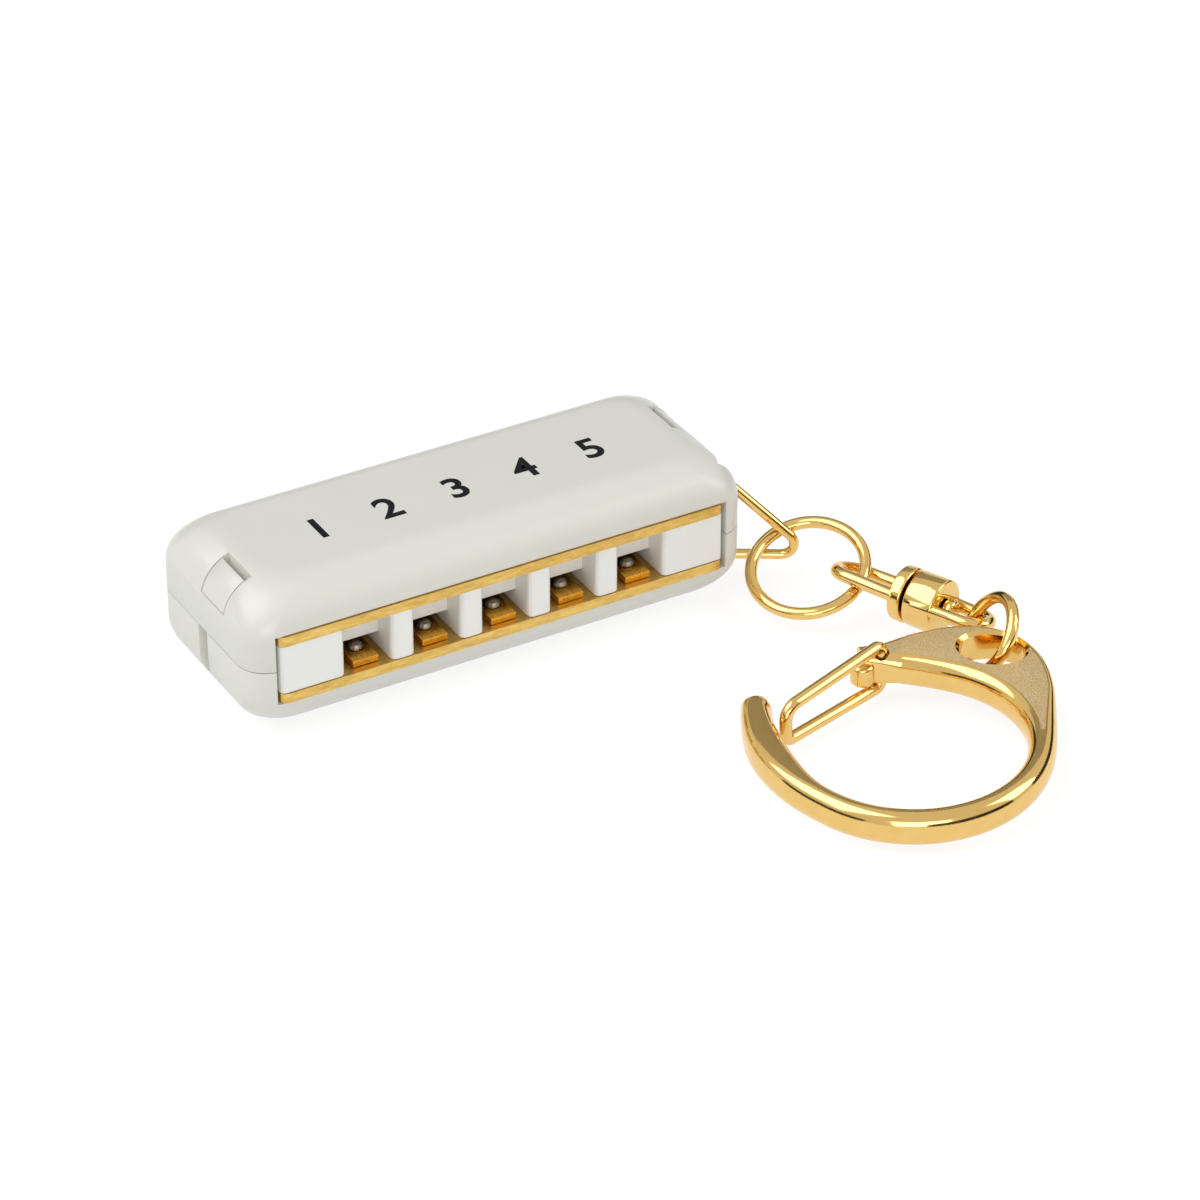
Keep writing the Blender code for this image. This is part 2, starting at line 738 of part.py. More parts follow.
def build_large_ring(mat):
    obj = ring("large_jump_ring", RING_RADIUS, RING_WIRE, RING_CENTRE, RING_NORMAL, 44, 10)
    return smooth(paint(obj, mat))


# Swivel

def swivel_frame(roll):
    """X runs along the swivel's axis to the clasp, Y across the link's arms."""
    along = Vector((math.cos(SWIVEL_HEADING), math.sin(SWIVEL_HEADING), 0.0))
    level = Vector((-along.y, along.x, 0.0))
    across = math.cos(roll) * level + math.sin(roll) * Vector((0.0, 0.0, 1.0))
    normal = along.cross(across)
    frame = Matrix((along, across, normal)).transposed().to_4x4()
    return Matrix.Translation(SWIVEL_CENTRE) @ frame


def turned_frame():
    """Profiles are turned about Z: this lays their Z along the swivel's axis."""
    return swivel_frame(0.0) @ Matrix.Rotation(math.radians(90), 4, "Y")


def collar(name, low, high):
    """A bored collar with slightly broken edges, turned about the axis."""
    edge = COLLAR_EDGE
    bore = PIN_RADIUS + PIN_FIT
    profile = [(bore, high), (COLLAR_RADIUS - edge, high), (COLLAR_RADIUS, high - edge),
               (COLLAR_RADIUS, low + edge), (COLLAR_RADIUS - edge, low), (bore, low),
               (bore, high)]
    return turned(name, profile, turned_frame())


def build_link(name, reach, width, direction, collar_low, collar_high, roll, mat):
    """A collar with a wire loop: the arms start at the collar and meet in an eye."""
    obj = collar(name, collar_low, collar_high)
    start = direction * LINK_WIRE / 2 + direction * COLLAR_GAP
    bend = direction * (reach - width / 2)
    points = [Vector((start, LINK_SPREAD / 2, 0.0))]
    for k in range(13):
        a = math.radians(90 - 15 * k)
        points.append(Vector((bend + direction * width / 2 * math.cos(a),
                              width / 2 * math.sin(a), 0.0)))
    points.append(Vector((start, -LINK_SPREAD / 2, 0.0)))
    loop = wire(f"{name}_loop", points, LINK_WIRE, swivel_frame(roll), 4)
    boolean(obj, loop, "UNION")
    smooth(paint(obj, mat))
    return obj


def build_swivel(mat):
    gap = COLLAR_GAP / 2
    link_a = build_link("swivel_link_a", LINK_A_REACH, LINK_A_WIDTH, -1,
                        -gap - COLLAR_A_LENGTH, -gap, LINK_A_ROLL, mat)
    link_b = build_link("swivel_link_b", LINK_B_REACH, LINK_B_WIDTH, 1,
                        gap, gap + COLLAR_B_LENGTH, LINK_B_ROLL, mat)
    tail = -gap - COLLAR_A_LENGTH - PIN_SEAT
    head = gap + COLLAR_B_LENGTH + PIN_SEAT
    edge = COLLAR_EDGE
    profile = [(0.0, head + PIN_HEAD_LENGTH),
               (PIN_HEAD_RADIUS - edge, head + PIN_HEAD_LENGTH),
               (PIN_HEAD_RADIUS, head + PIN_HEAD_LENGTH - edge),
               (PIN_HEAD_RADIUS, head), (PIN_RADIUS, head), (PIN_RADIUS, tail),
               (PIN_TAIL_RADIUS, tail), (PIN_TAIL_RADIUS, tail - PIN_TAIL_LENGTH + edge),
               (PIN_TAIL_RADIUS - edge, tail - PIN_TAIL_LENGTH),
               (0.0, tail - PIN_TAIL_LENGTH)]
    pin = turned("swivel_pin", profile, turned_frame(), 16)
    smooth(paint(pin, mat))
    set_origin(link_a, ring_point())
    set_origin(link_b, SWIVEL_CENTRE)
    set_origin(pin, SWIVEL_CENTRE)
    return link_a, link_b, pin


def build_small_ring(mat):
    obj = ring("small_jump_ring", SMALL_RING_RADIUS, SMALL_RING_WIRE,
               SMALL_RING_CENTRE, SMALL_RING_NORMAL, 36, 10)
    smooth(paint(obj, mat))
    return set_origin(obj, swivel_frame(0.0) @ Vector((LINK_B_REACH, 0.0, 0.0)))


# Clasp

def clasp_frame():
    """The plane of the clasp: it rises towards the ring that it leans on."""
    rise = Vector((math.cos(CLASP_TILT_HEADING), math.sin(CLASP_TILT_HEADING), 0.0))
    axis = rise.cross(Vector((0.0, 0.0, 1.0)))
    tilt = Matrix.Rotation(CLASP_TILT, 4, axis)
    return Matrix.Translation(CLASP_CORNER) @ tilt


def hinge_share(angle):
    """How far an angle is along the flare towards the hinge, 0 to 1."""
    return max(0.0, (angle - HINGE_FLARE_FROM) / (HINGE_ANGLE - HINGE_FLARE_FROM))


def clasp_radii(angle):
    """Inner and outer radius of the clasp's plan at an angle in degrees."""
    inner = CLASP_INNER_RADIUS
    width = CLASP_TUBE_WIDTH
    nose = max(0.0, (NOSE_FLARE_FROM - angle) / (NOSE_FLARE_FROM - NOSE_ANGLE))
    inner += NOSE_FLARE * nose ** 2
    swell = max(0.0, (NOSE_SWELL_FROM - angle) / (NOSE_SWELL_FROM - NOSE_SWELL_TO))
    width += NOSE_SWELL * math.sin(math.pi * swell) ** 2
    away = angle - PLATE_ANGLE
    spread = PLATE_SPREAD_BEFORE if away < 0 else PLATE_SPREAD_AFTER
    outer = inner + width + PLATE_REACH * math.exp(-(away / spread) ** 2)
    hinge = hinge_share(angle)
    return inner + HINGE_FLARE * hinge ** 2, outer + HINGE_SWELL * hinge ** 2


def clasp_row(angle, inner, outer, height=1.0):
    """One cross-section: nearly oval on the tube, squarer at the plate and hinge."""
    wide = min(CLASP_ROUNDING, 0.46 * (outer - inner))
    rise = CLASP_ROUNDING_RISE
    plate = (outer - inner - CLASP_TUBE_WIDTH) / PLATE_REACH
    flat = min(1.0, max(0.0, 2.5 * plate))
    square = max(0.0, (angle - HINGE_SQUARE_FROM) / (HINGE_ANGLE - HINGE_SQUARE_FROM))
    near = (wide + (HINGE_ROUNDING - wide) * square,
            (rise + (HINGE_ROUNDING - rise) * square) * height)
    flat = max(flat, square)
    far = (wide + (CLASP_PLATE_ROUNDING - wide) * flat,
           (rise + (CLASP_PLATE_ROUNDING - rise) * flat) * height)
    low = CLASP_THICK * (1 - height) / 2
    a = math.radians(angle)
    row = []
    for radius, z in rounded_rectangle(inner, outer, low, CLASP_THICK - low, near, far, 4):
        row.append((CLASP_CENTRE_X + radius * math.cos(a),
                    CLASP_CENTRE_Y + radius * math.sin(a), z))
    return row


def clasp_rows(count=60):
    """Cross-sections from the rounded nose tip round to the hinge."""
    inner, outer = clasp_radii(NOSE_ANGLE)
    middle = (inner + outer) / 2
    half = (outer - inner) / 2
    rows = []
    for a in (75, 50, 25):
        ahead = math.degrees(half * math.sin(math.radians(a)) / middle)
        share = math.cos(math.radians(a))
        rows.append(clasp_row(NOSE_ANGLE - ahead, middle - half * share,
                              middle + half * share, math.sqrt(share)))
    for i in range(count + 1):
        angle = NOSE_ANGLE + (HINGE_ANGLE - NOSE_ANGLE) * i / count
        rows.append(clasp_row(angle, *clasp_radii(angle)))
    return rows


def rim_centre():
    """Middle of the narrow rim between the eye and the plate's outer edge."""
    out = Vector((math.cos(EYE_TURN + math.pi / 2), math.sin(EYE_TURN + math.pi / 2), 0.0))
    middle = Vector((EYE_CENTRE_X, EYE_CENTRE_Y, CLASP_THICK / 2))
    return middle + out * (EYE_SHORT + EYE_CHAMFER)


def build_clasp_body(mat):
    frame = clasp_frame()
    body = loft("clasp_body", clasp_rows())
    knob = cylinder("clasp_knob", KNOB_RADIUS, GATE_RELIEF, KNOB_TOP, (KNOB_X, KNOB_Y), 20)
    knob = as_mesh(bevel(knob, GATE_RELIEF, 2), "clasp_knob")
    boolean(body, knob, "UNION")
    chamfer = EYE_CHAMFER
    over = 2 * chamfer
    profile = [(0.0, CLASP_THICK + over), (EYE_SHORT + chamfer + over, CLASP_THICK + over),
               (EYE_SHORT, CLASP_THICK - chamfer), (EYE_SHORT, chamfer),
               (EYE_SHORT + chamfer + over, -over), (0.0, -over)]
    stretch = Matrix.Diagonal((EYE_LONG / EYE_SHORT, 1.0, 1.0, 1.0))
    place = (Matrix.Translation((EYE_CENTRE_X, EYE_CENTRE_Y, 0.0))
             @ Matrix.Rotation(EYE_TURN, 4, "Z") @ stretch)
    eye = turned("clasp_eye", profile, place, 32)
    side = GATE_WIRE + GATE_CLEARANCE
    far = 4 * CLASP_THICK
    foot = box("gate_relief", (KNOB_X - far / 4, GATE_HINGE_Y - far / 3, -far),
               (GATE_HINGE_X + side, GATE_HINGE_Y + far / 3, GATE_RELIEF))
    bore = cylinder("gate_bore", GATE_WIRE / 2 + GATE_PIN_FIT, -far, far,
                    (GATE_HINGE_X, GATE_HINGE_Y), 16)
    for cutter in (eye, foot, bore):
        boolean(body, cutter, "DIFFERENCE")
    for item in (body, knob, eye, foot, bore):
        item.matrix_world = frame
    smooth(paint(body, mat))
    return set_origin(body, frame @ rim_centre())


def build_gate(mat):
    """A bent spring wire: pin, arm over the clasp, end, arm under it, pin."""
    half = GATE_WIRE / 2
    high = CLASP_THICK + GATE_CLEARANCE + half
    low = GATE_RELIEF - GATE_CLEARANCE - half
    end_low = low + GATE_END_RISE
    end_high = high - GATE_END_RISE
    x, y = GATE_HINGE_X, GATE_HINGE_Y
    corners = [(x, y, high - GATE_PIN_LENGTH), (x, y, high),
               (GATE_END_X, GATE_END_Y, end_high), (GATE_END_X, GATE_END_Y, end_low),
               (x, y, low), (x, y, low + GATE_PIN_LENGTH)]
    radii = [GATE_BEND_RADIUS, GATE_TIP_RADIUS, GATE_BEND_RADIUS, GATE_BEND_RADIUS]
    gate = wire("clasp_gate", rounded_path(corners, radii), GATE_WIRE)
    gate.matrix_world = clasp_frame()
    smooth(paint(gate, mat))
    hinge = clasp_frame() @ Vector((x, y, CLASP_THICK / 2))
    return set_origin(gate, hinge)


def main():
    clear_scene()
    shell = material("ivory_plastic", (0.72, 0.73, 0.69), 0.22, 0.0)
    comb_mat = material("white_plastic", (0.80, 0.80, 0.77), 0.30, 0.0)
    brass = material("plate_brass", (0.72, 0.50, 0.16), 0.34, 1.0)
    reed_mat = material("reed_brass", (0.80, 0.46, 0.08), 0.30, 1.0)
    rivet_mat = material("rivet_steel", (0.50, 0.49, 0.47), 0.30, 1.0)
    gold = material("polished_gold", (0.86, 0.62, 0.25), 0.14, 1.0)
    satin = material("satin_gold", (0.78, 0.60, 0.32), 0.30, 1.0)

    comb = build_comb(comb_mat)
    lower = build_plate("lower_reed_plate", LOWER_FOOT, LOWER_TOP, True, brass)
    upper = build_plate("upper_reed_plate", UPPER_FOOT, UPPER_TOP, False, brass)
    blow = build_reeds("blow", LOWER_TOP, True, reed_mat, rivet_mat)
    draw = build_reeds("draw", UPPER_TOP, False, reed_mat, rivet_mat)
    top = build_top_cover(shell)
    bottom = build_bottom_cover(shell)
    bail = build_bail(gold)
    large = build_large_ring(gold)
    link_a, link_b, pin = build_swivel(gold)
    small = build_small_ring(gold)
    clasp = build_clasp_body(satin)
    gate = build_gate(gold)

    for child in (lower, upper, top, bottom):
        attach(child, comb)
    for reed, rivet in blow:
        attach(reed, lower)
        attach(rivet, lower)
    for reed, rivet in draw:
        attach(reed, upper)
        attach(rivet, upper)
    chain = (comb, bail, large, link_a, link_b, small, clasp, gate)
    for parent, child in zip(chain, chain[1:]):
        attach(child, parent)
    attach(pin, link_a)


main()
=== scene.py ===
# %% [markdown]
# # A mini harmonica on a key clasp
# The object is a small five-hole harmonica: two snapped plastic covers hold two
# brass reed plates and a white comb between them, and a wire bail, two rings
# and a swivel join it to a round spring clasp. The solid parts come from the
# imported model, which fixes every size and place. This file dresses them.

import math

import bmesh
import bpy
import numpy as np
from mathutils import Matrix, Vector


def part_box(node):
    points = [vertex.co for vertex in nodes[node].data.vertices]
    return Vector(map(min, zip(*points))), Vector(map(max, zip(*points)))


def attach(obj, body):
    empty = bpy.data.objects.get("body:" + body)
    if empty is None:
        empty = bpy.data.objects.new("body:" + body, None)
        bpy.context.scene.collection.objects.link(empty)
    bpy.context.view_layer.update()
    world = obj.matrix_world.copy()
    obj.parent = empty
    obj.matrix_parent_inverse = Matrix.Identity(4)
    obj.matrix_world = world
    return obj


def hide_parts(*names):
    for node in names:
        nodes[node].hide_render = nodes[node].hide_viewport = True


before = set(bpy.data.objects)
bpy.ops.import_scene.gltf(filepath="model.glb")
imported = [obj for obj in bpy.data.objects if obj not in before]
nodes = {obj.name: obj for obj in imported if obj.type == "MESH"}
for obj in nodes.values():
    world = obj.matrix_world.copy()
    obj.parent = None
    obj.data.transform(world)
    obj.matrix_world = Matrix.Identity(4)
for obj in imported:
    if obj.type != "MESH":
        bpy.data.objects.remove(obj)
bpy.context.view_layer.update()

# %% [markdown]
# ## Camera
# The photograph was taken from the left and above with a long lens, so lines
# that are parallel on the object stay nearly parallel. The camera stands about
# 0.42 m away with a 145 mm lens on a 36 mm wide sensor. It could be aimed at a
# point, but two angles say more plainly from where the picture was taken.

# %% The camera
CAMERA_PLACE = (-0.165519, -0.312432, 0.228417)
CAMERA_AZIMUTH = math.radians(29.92)
CAMERA_ELEVATION = math.radians(32.65)

camera_data = bpy.data.cameras.new("camera")
camera_data.lens = 145.35
camera_data.sensor_width = 36.0
camera_data.clip_start = 0.01
camera = bpy.data.objects.new("camera", camera_data)
bpy.context.scene.collection.objects.link(camera)
camera.location = CAMERA_PLACE
camera.rotation_euler = (math.pi / 2 - CAMERA_ELEVATION, 0.0, -CAMERA_AZIMUTH)
bpy.context.scene.camera = camera
bpy.context.scene.view_settings.view_transform = "Standard"
print("camera at", CAMERA_PLACE)

# %% [markdown]
# ## Floor and light
# A product table is a plain white sheet under large soft lamps. A bright lamp
# could burn the sheet out to white, but it would burn the pale covers too. So
# the floor adds a glow of its own for the camera and the metal, and a weak grey
# on top of it, which still darkens where the object keeps the light off.

# %% The studio
FLOOR_WHITE, FLOOR_SHADE, FLOOR_GLOW = 0.80, 0.22, 0.84
WORLD_SEEN, WORLD_FILL = 1.0, 0.52


def light_path_mask(tree):
    """1 for rays from the camera, from glossy surfaces and through glass."""
    path = tree.nodes.new("ShaderNodeLightPath")
    first = tree.nodes.new("ShaderNodeMath")
    first.operation = "MAXIMUM"
    second = tree.nodes.new("ShaderNodeMath")
    second.operation = "MAXIMUM"
    tree.links.new(path.outputs["Is Camera Ray"], first.inputs[0])
    tree.links.new(path.outputs["Is Glossy Ray"], first.inputs[1])
    tree.links.new(first.outputs[0], second.inputs[0])
    tree.links.new(path.outputs["Is Transmission Ray"], second.inputs[1])
    return second.outputs[0]


def grey(value):
    return (value, value, value, 1.0)


def floor_material():
    """Plain white for light that bounces, glow plus weak grey for the camera."""
    mat = bpy.data.materials.new("white_sheet")
    mat.use_nodes = True
    tree = mat.node_tree
    tree.nodes.clear()
    out = tree.nodes.new("ShaderNodeOutputMaterial")
    plain = tree.nodes.new("ShaderNodeBsdfDiffuse")
    plain.inputs["Color"].default_value = grey(FLOOR_WHITE)
    shade = tree.nodes.new("ShaderNodeBsdfDiffuse")
    shade.inputs["Color"].default_value = grey(FLOOR_SHADE)
    glow = tree.nodes.new("ShaderNodeEmission")
    glow.inputs["Strength"].default_value = FLOOR_GLOW
    both = tree.nodes.new("ShaderNodeAddShader")
    mix = tree.nodes.new("ShaderNodeMixShader")
    tree.links.new(shade.outputs[0], both.inputs[0])
    tree.links.new(glow.outputs[0], both.inputs[1])
    tree.links.new(light_path_mask(tree), mix.inputs[0])
    tree.links.new(plain.outputs[0], mix.inputs[1])
    tree.links.new(both.outputs[0], mix.inputs[2])
    tree.links.new(mix.outputs[0], out.inputs["Surface"])
    return mat


def set_world():
    """White where it is seen, and a soft even fill where it lights."""
    world = bpy.data.worlds.new("studio")
    bpy.context.scene.world = world
    world.use_nodes = True
    tree = world.node_tree
    tree.nodes.clear()
    out = tree.nodes.new("ShaderNodeOutputWorld")
    seen = tree.nodes.new("ShaderNodeBackground")
    seen.inputs["Strength"].default_value = WORLD_SEEN
    fill = tree.nodes.new("ShaderNodeBackground")
    fill.inputs["Strength"].default_value = WORLD_FILL
    mix = tree.nodes.new("ShaderNodeMixShader")
    tree.links.new(light_path_mask(tree), mix.inputs[0])
    tree.links.new(fill.outputs[0], mix.inputs[1])
    tree.links.new(seen.outputs[0], mix.inputs[2])
    tree.links.new(mix.outputs[0], out.inputs["Surface"])


def plate_object(name, centre, across, up, width, height):
    """A flat card: corners are centre +- half width across +- half height up."""
    centre, across, up = (np.asarray(v, float) for v in (centre, across, up))
    across /= np.linalg.norm(across)
    up /= np.linalg.norm(up)
    signs = np.array([(-1, -1), (1, -1), (1, 1), (-1, 1)], float) / 2
    corners = centre + signs[:, :1] * width * across + signs[:, 1:] * height * up
    mesh = bpy.data.meshes.new(name)
    mesh.from_pydata(corners, [], np.array([[0, 1, 2, 3]]))
    obj = bpy.data.objects.new(name, mesh)
    bpy.context.scene.collection.objects.link(obj)
    return obj


def area_lamp(name, place, aim, size, power):
    """A rectangular lamp that faces the aimed point."""
    data = bpy.data.lights.new(name, "AREA")
    data.shape = "RECTANGLE"
    data.size = size[0]
    data.size_y = size[1]
    data.energy = power
    lamp = bpy.data.objects.new(name, data)
    bpy.context.scene.collection.objects.link(lamp)
    lamp.location = place
    lamp.rotation_euler = (Vector(aim) - Vector(place)).to_track_quat("-Z", "Y").to_euler()
    return lamp


FLOOR_DROP, FLOOR_SIZE = 0.0006, 12.0
floor = plate_object("floor", (0, 0, -FLOOR_DROP), (1, 0, 0), (0, 1, 0), FLOOR_SIZE, FLOOR_SIZE)
floor.data.materials.append(floor_material())
set_world()
area_lamp("key_lamp", (-0.30, 0.10, 0.45), (0, -0.01, 0), (0.50, 0.50), 2.1)
area_lamp("front_lamp", (-0.20, -0.50, 0.16), (0, -0.01, 0), (0.40, 0.25), 0.9)
area_lamp("side_lamp", (0.40, -0.25, 0.30), (0.01, -0.02, 0), (0.25, 0.35), 0.8)
print("floor, world and three lamps are up")

# %% [markdown]
# ### Dark cards
# Polished metal only looks like metal where it mirrors something dark. A studio
# stands black cards round it, just out of the picture. These are seen by
# reflections alone, so they neither shade the object nor stand in the picture,
# and they can be as near as the reflections need.

# %% Dark cards
def dark_card(name, centre, across, up, width, height, shade):
    """A card of one grey that only reflections see."""
    card = plate_object(name, centre, across, up, width, height)
    mat = bpy.data.materials.new(name)
    mat.use_nodes = True
    shader = mat.node_tree.nodes["Principled BSDF"]
    shader.inputs["Base Color"].default_value = grey(shade)
    shader.inputs["Roughness"].default_value = 1.0
    card.data.materials.append(mat)
    card.visible_camera = False
    card.visible_diffuse = False
    card.visible_transmission = False
    card.visible_shadow = False
    return card


dark_card("card_front", (0.10, -0.40, 0.055), (1, 0.25, 0), (0, 0, 1), 0.50, 0.11, 0.03)
dark_card("card_right", (0.42, 0.02, 0.06), (0, 1, 0), (0, 0, 1), 0.45, 0.12, 0.03)
dark_card("card_back", (0.05, 0.40, 0.09), (1, 0, 0), (0, 0, 1), 0.55, 0.14, 0.05)
dark_card("card_grey", (0.27, 0.52, 0.36), (0.883, -0.468, 0), (-0.25, -0.47, 0.85), 0.62, 0.36,
          0.50)
dark_card("card_left", (-0.40, 0.0, 0.05), (0, 1, 0), (0, 0, 1), 0.45, 0.10, 0.08)
print("five cards stand round the table")

# %% [markdown]
# ## Finishes
# The real surfaces are moulded, rolled or plated, and none is quite even. Image
# textures would need unwrapped surfaces. Noise in Object coordinates needs none:
# they are metres in the object's own frame, so a scale of 4000 means a grain of
# about a quarter millimetre.

# %% Material helpers
class Finish:
    """A material's node tree with short calls for the few nodes used here."""

    def __init__(self, name, colour, roughness, metallic=0.0):
        self.mat = bpy.data.materials.new(name)
        self.mat.use_nodes = True
        self.tree = self.mat.node_tree
        self.shader = self.tree.nodes["Principled BSDF"]
        self.shader.inputs["Base Color"].default_value = (*colour, 1.0)
        self.shader.inputs["Roughness"].default_value = roughness
        self.shader.inputs["Metallic"].default_value = metallic
        coords = self.tree.nodes.new("ShaderNodeTexCoord")
        self.place = coords.outputs["Object"]

    def node(self, kind, **settings):
        made = self.tree.nodes.new(kind)
        for key, value in settings.items():
            setattr(made, key, value)
        return made

    def link(self, source, target):
        self.tree.links.new(source, target)

    def stretched(self, scale, turn=(0.0, 0.0, 0.0)):
        """Object coordinates turned, then scaled per axis."""
        mapping = self.node("ShaderNodeMapping")
        mapping.inputs["Rotation"].default_value = turn
        mapping.inputs["Scale"].default_value = scale
        self.link(self.place, mapping.inputs["Vector"])
        return mapping.outputs["Vector"]

    def noise(self, scale, detail=2.0, rough=0.5, vector=None):
        made = self.node("ShaderNodeTexNoise")
        made.inputs["Scale"].default_value = scale
        made.inputs["Detail"].default_value = detail
        made.inputs["Roughness"].default_value = rough
        self.link(vector or self.place, made.inputs["Vector"])
        return made.outputs["Fac"]

    def spread(self, value, low, high):
        """A 0 to 1 value set out between two others."""
        made = self.node("ShaderNodeMapRange")
        made.inputs["To Min"].default_value = low
        made.inputs["To Max"].default_value = high
        self.link(value, made.inputs["Value"])
        return made.outputs["Result"]

    def window(self, value, low, high):
        """0 below low, 1 above high and a straight rise between."""
        made = self.node("ShaderNodeMapRange")
        made.inputs["From Min"].default_value = low
        made.inputs["From Max"].default_value = high
        self.link(value, made.inputs["Value"])
        return made.outputs["Result"]

    def blend(self, value, dark, light):
        """Two colours mixed by a value."""
        made = self.node("ShaderNodeMix", data_type="RGBA")
        made.inputs[6].default_value = (*dark, 1.0)
        made.inputs[7].default_value = (*light, 1.0)
        self.link(value, made.inputs[0])
        return made.outputs[2]

    def sum(self, first, second, weight):
        """first + weight * second."""
        made = self.node("ShaderNodeMath", operation="MULTIPLY_ADD")
        self.link(second, made.inputs[0])
        made.inputs[1].default_value = weight
        self.link(first, made.inputs[2])
        return made.outputs[0]

    def colour(self, socket):
        self.link(socket, self.shader.inputs["Base Color"])

    def roughness(self, socket):
        self.link(socket, self.shader.inputs["Roughness"])

    def bump(self, height, distance, strength=1.0):
        made = self.node("ShaderNodeBump")
        made.inputs["Distance"].default_value = distance
        made.inputs["Strength"].default_value = strength
        self.link(height, made.inputs["Height"])
        self.link(made.outputs["Normal"], self.shader.inputs["Normal"])


print("finishes are made by one small class")

# %% [markdown]
# ### Plastic
# The covers are off-white ABS with a moulded gloss: a very shallow orange peel
# and slight changes of shine. The comb is a whiter, slightly duller plastic.
# One function makes both, because only their colour, shine and peel differ.

# %% Plastic finishes
def moulded_plastic(name, colour, shade, roughness, peel):
    """Two close shades in slow clouds, an uneven shine and a shallow peel."""
    f = Finish(name, colour, roughness)
    cloud = f.noise(160.0, 2.0)
    f.colour(f.blend(cloud, shade, colour))
    f.roughness(f.spread(f.noise(900.0, 3.0), roughness - 0.05, roughness + 0.06))
    f.bump(f.sum(f.noise(1400.0, 1.0), f.noise(9000.0, 2.0), 0.25), peel)
    f.shader.inputs["IOR"].default_value = 1.52
    return f.mat


cover_plastic = moulded_plastic("off_white_plastic", (0.665, 0.665, 0.612),
                                (0.640, 0.640, 0.585), 0.30, 0.0000045)
comb_plastic = moulded_plastic("white_plastic", (0.80, 0.80, 0.77),
                               (0.77, 0.77, 0.74), 0.34, 0.000003)
print("plastics:", cover_plastic.name, comb_plastic.name)

# %% [markdown]
# ### Brass
# The reed plates are sheared from brushed sheet: fine straight lines run along
# them. Separate scratches would be many small shapes; a noise that is squeezed
# hard across the length gives the same lines from one node.

# %% Brass finishes
def brushed_brass(name, light, dark, roughness, along, depth):
    """Fine lines and wider marks along one direction, dark in their valleys."""
    f = Finish(name, light, roughness, 1.0)
    lines = f.noise(1.0, 4.0, 0.65, f.stretched(along))
    marks = f.noise(1.0, 3.0, 0.6, f.stretched(tuple(v * 0.22 for v in along)))
    both = f.sum(lines, marks, 0.6)
    f.colour(f.blend(f.window(both, 0.45, 1.15), dark, light))
    f.roughness(f.spread(lines, roughness - 0.08, roughness + 0.10))
    f.bump(both, depth)
    return f.mat


plate_brass = brushed_brass("sheet_brass", (0.90, 0.64, 0.20), (0.50, 0.29, 0.06), 0.33,
                            (1100.0, 5000.0, 5000.0), 0.000022)
reed_brass = brushed_brass("reed_strip", (0.90, 0.50, 0.07), (0.55, 0.26, 0.03), 0.26,
                           (9000.0, 900.0, 9000.0), 0.000010)
print("brass:", plate_brass.name, reed_brass.name)

# %% [markdown]
# ### Steel and gold
# Rivet heads are dull steel. The chain and clasp are gold-plated: almost a
# mirror, with a trace of unevenness left by the casting under the plating. A
# perfect mirror would look computed, so a slow wave bends its reflections.

# %% Steel and gold finishes
def plated_gold(name, colour, shade, roughness, waviness):
    """A near mirror: two close golds, a little uneven in shine and in height."""
    f = Finish(name, colour, roughness, 1.0)
    f.colour(f.blend(f.noise(700.0, 2.0), shade, colour))
    f.roughness(f.spread(f.noise(2600.0, 3.0), roughness - 0.03, roughness + 0.05))
    f.bump(f.sum(f.noise(500.0, 1.0), f.noise(7000.0, 2.0), 0.05), waviness)
    return f.mat


def rivet_finish():
    """Grey steel with a faint cloud of stain."""
    f = Finish("rivet_steel", (0.26, 0.24, 0.21), 0.30, 1.0)
    f.colour(f.blend(f.noise(3000.0, 3.0), (0.18, 0.16, 0.14), (0.34, 0.31, 0.27)))
    f.bump(f.noise(9000.0, 2.0), 0.000006)
    return f.mat


gold = plated_gold("gold_plating", (0.83, 0.57, 0.21), (0.76, 0.49, 0.15), 0.10, 0.000010)
rivet_steel = rivet_finish()
print("metals:", gold.name, rivet_steel.name)

# %% [markdown]
# ## Dress the carried-over parts
# The comb is moulded, the plates and reeds are cut from sheet and the rivets are
# headed wire. Their plain shapes are already right in the solid model, so they
# aren't made again and only take a finish.

# %% Finish the solids
def dress(node, mat):
    """The solid takes one finish in place of its own."""
    obj = nodes[node]
    obj.data.materials.clear()
    obj.data.materials.append(mat)


for name in nodes:
    if name == "comb":
        dress(name, comb_plastic)
    elif name.endswith("reed_plate"):
        dress(name, plate_brass)
    elif "_reed_" in name:
        dress(name, reed_brass)
    elif "_rivet_" in name:
        dress(name, rivet_steel)
print("the comb, plates, reeds and rivets have their finishes")

# %% [markdown]
# ## Shapes from arrays
# Wires, rings, turned pieces and the clasp are all one idea: a section carried
# along a path. A bevelled curve could carry a circle, but not a section that
# changes on its way. With numpy the whole surface is a single array expression,
# as fine as a mirror finish needs, without any loop over vertices.

# %% Array helpers
def unit(v):
    """Each vector divided by its length."""
    v = np.asarray(v, float)
    return v / np.linalg.norm(v, axis=-1, keepdims=True)


def carried(path, first, second, a, b):
    """Point (i, j) is path i plus a(i, j) along the first axis at i plus
    b(i, j) along the second axis at i."""
    path, first, second = (np.atleast_2d(np.asarray(v, float))
                           for v in (path, first, second))
    return (path[:, None, :] + np.asarray(a)[:, :, None] * first[:, None, :]
            + np.asarray(b)[:, :, None] * second[:, None, :])


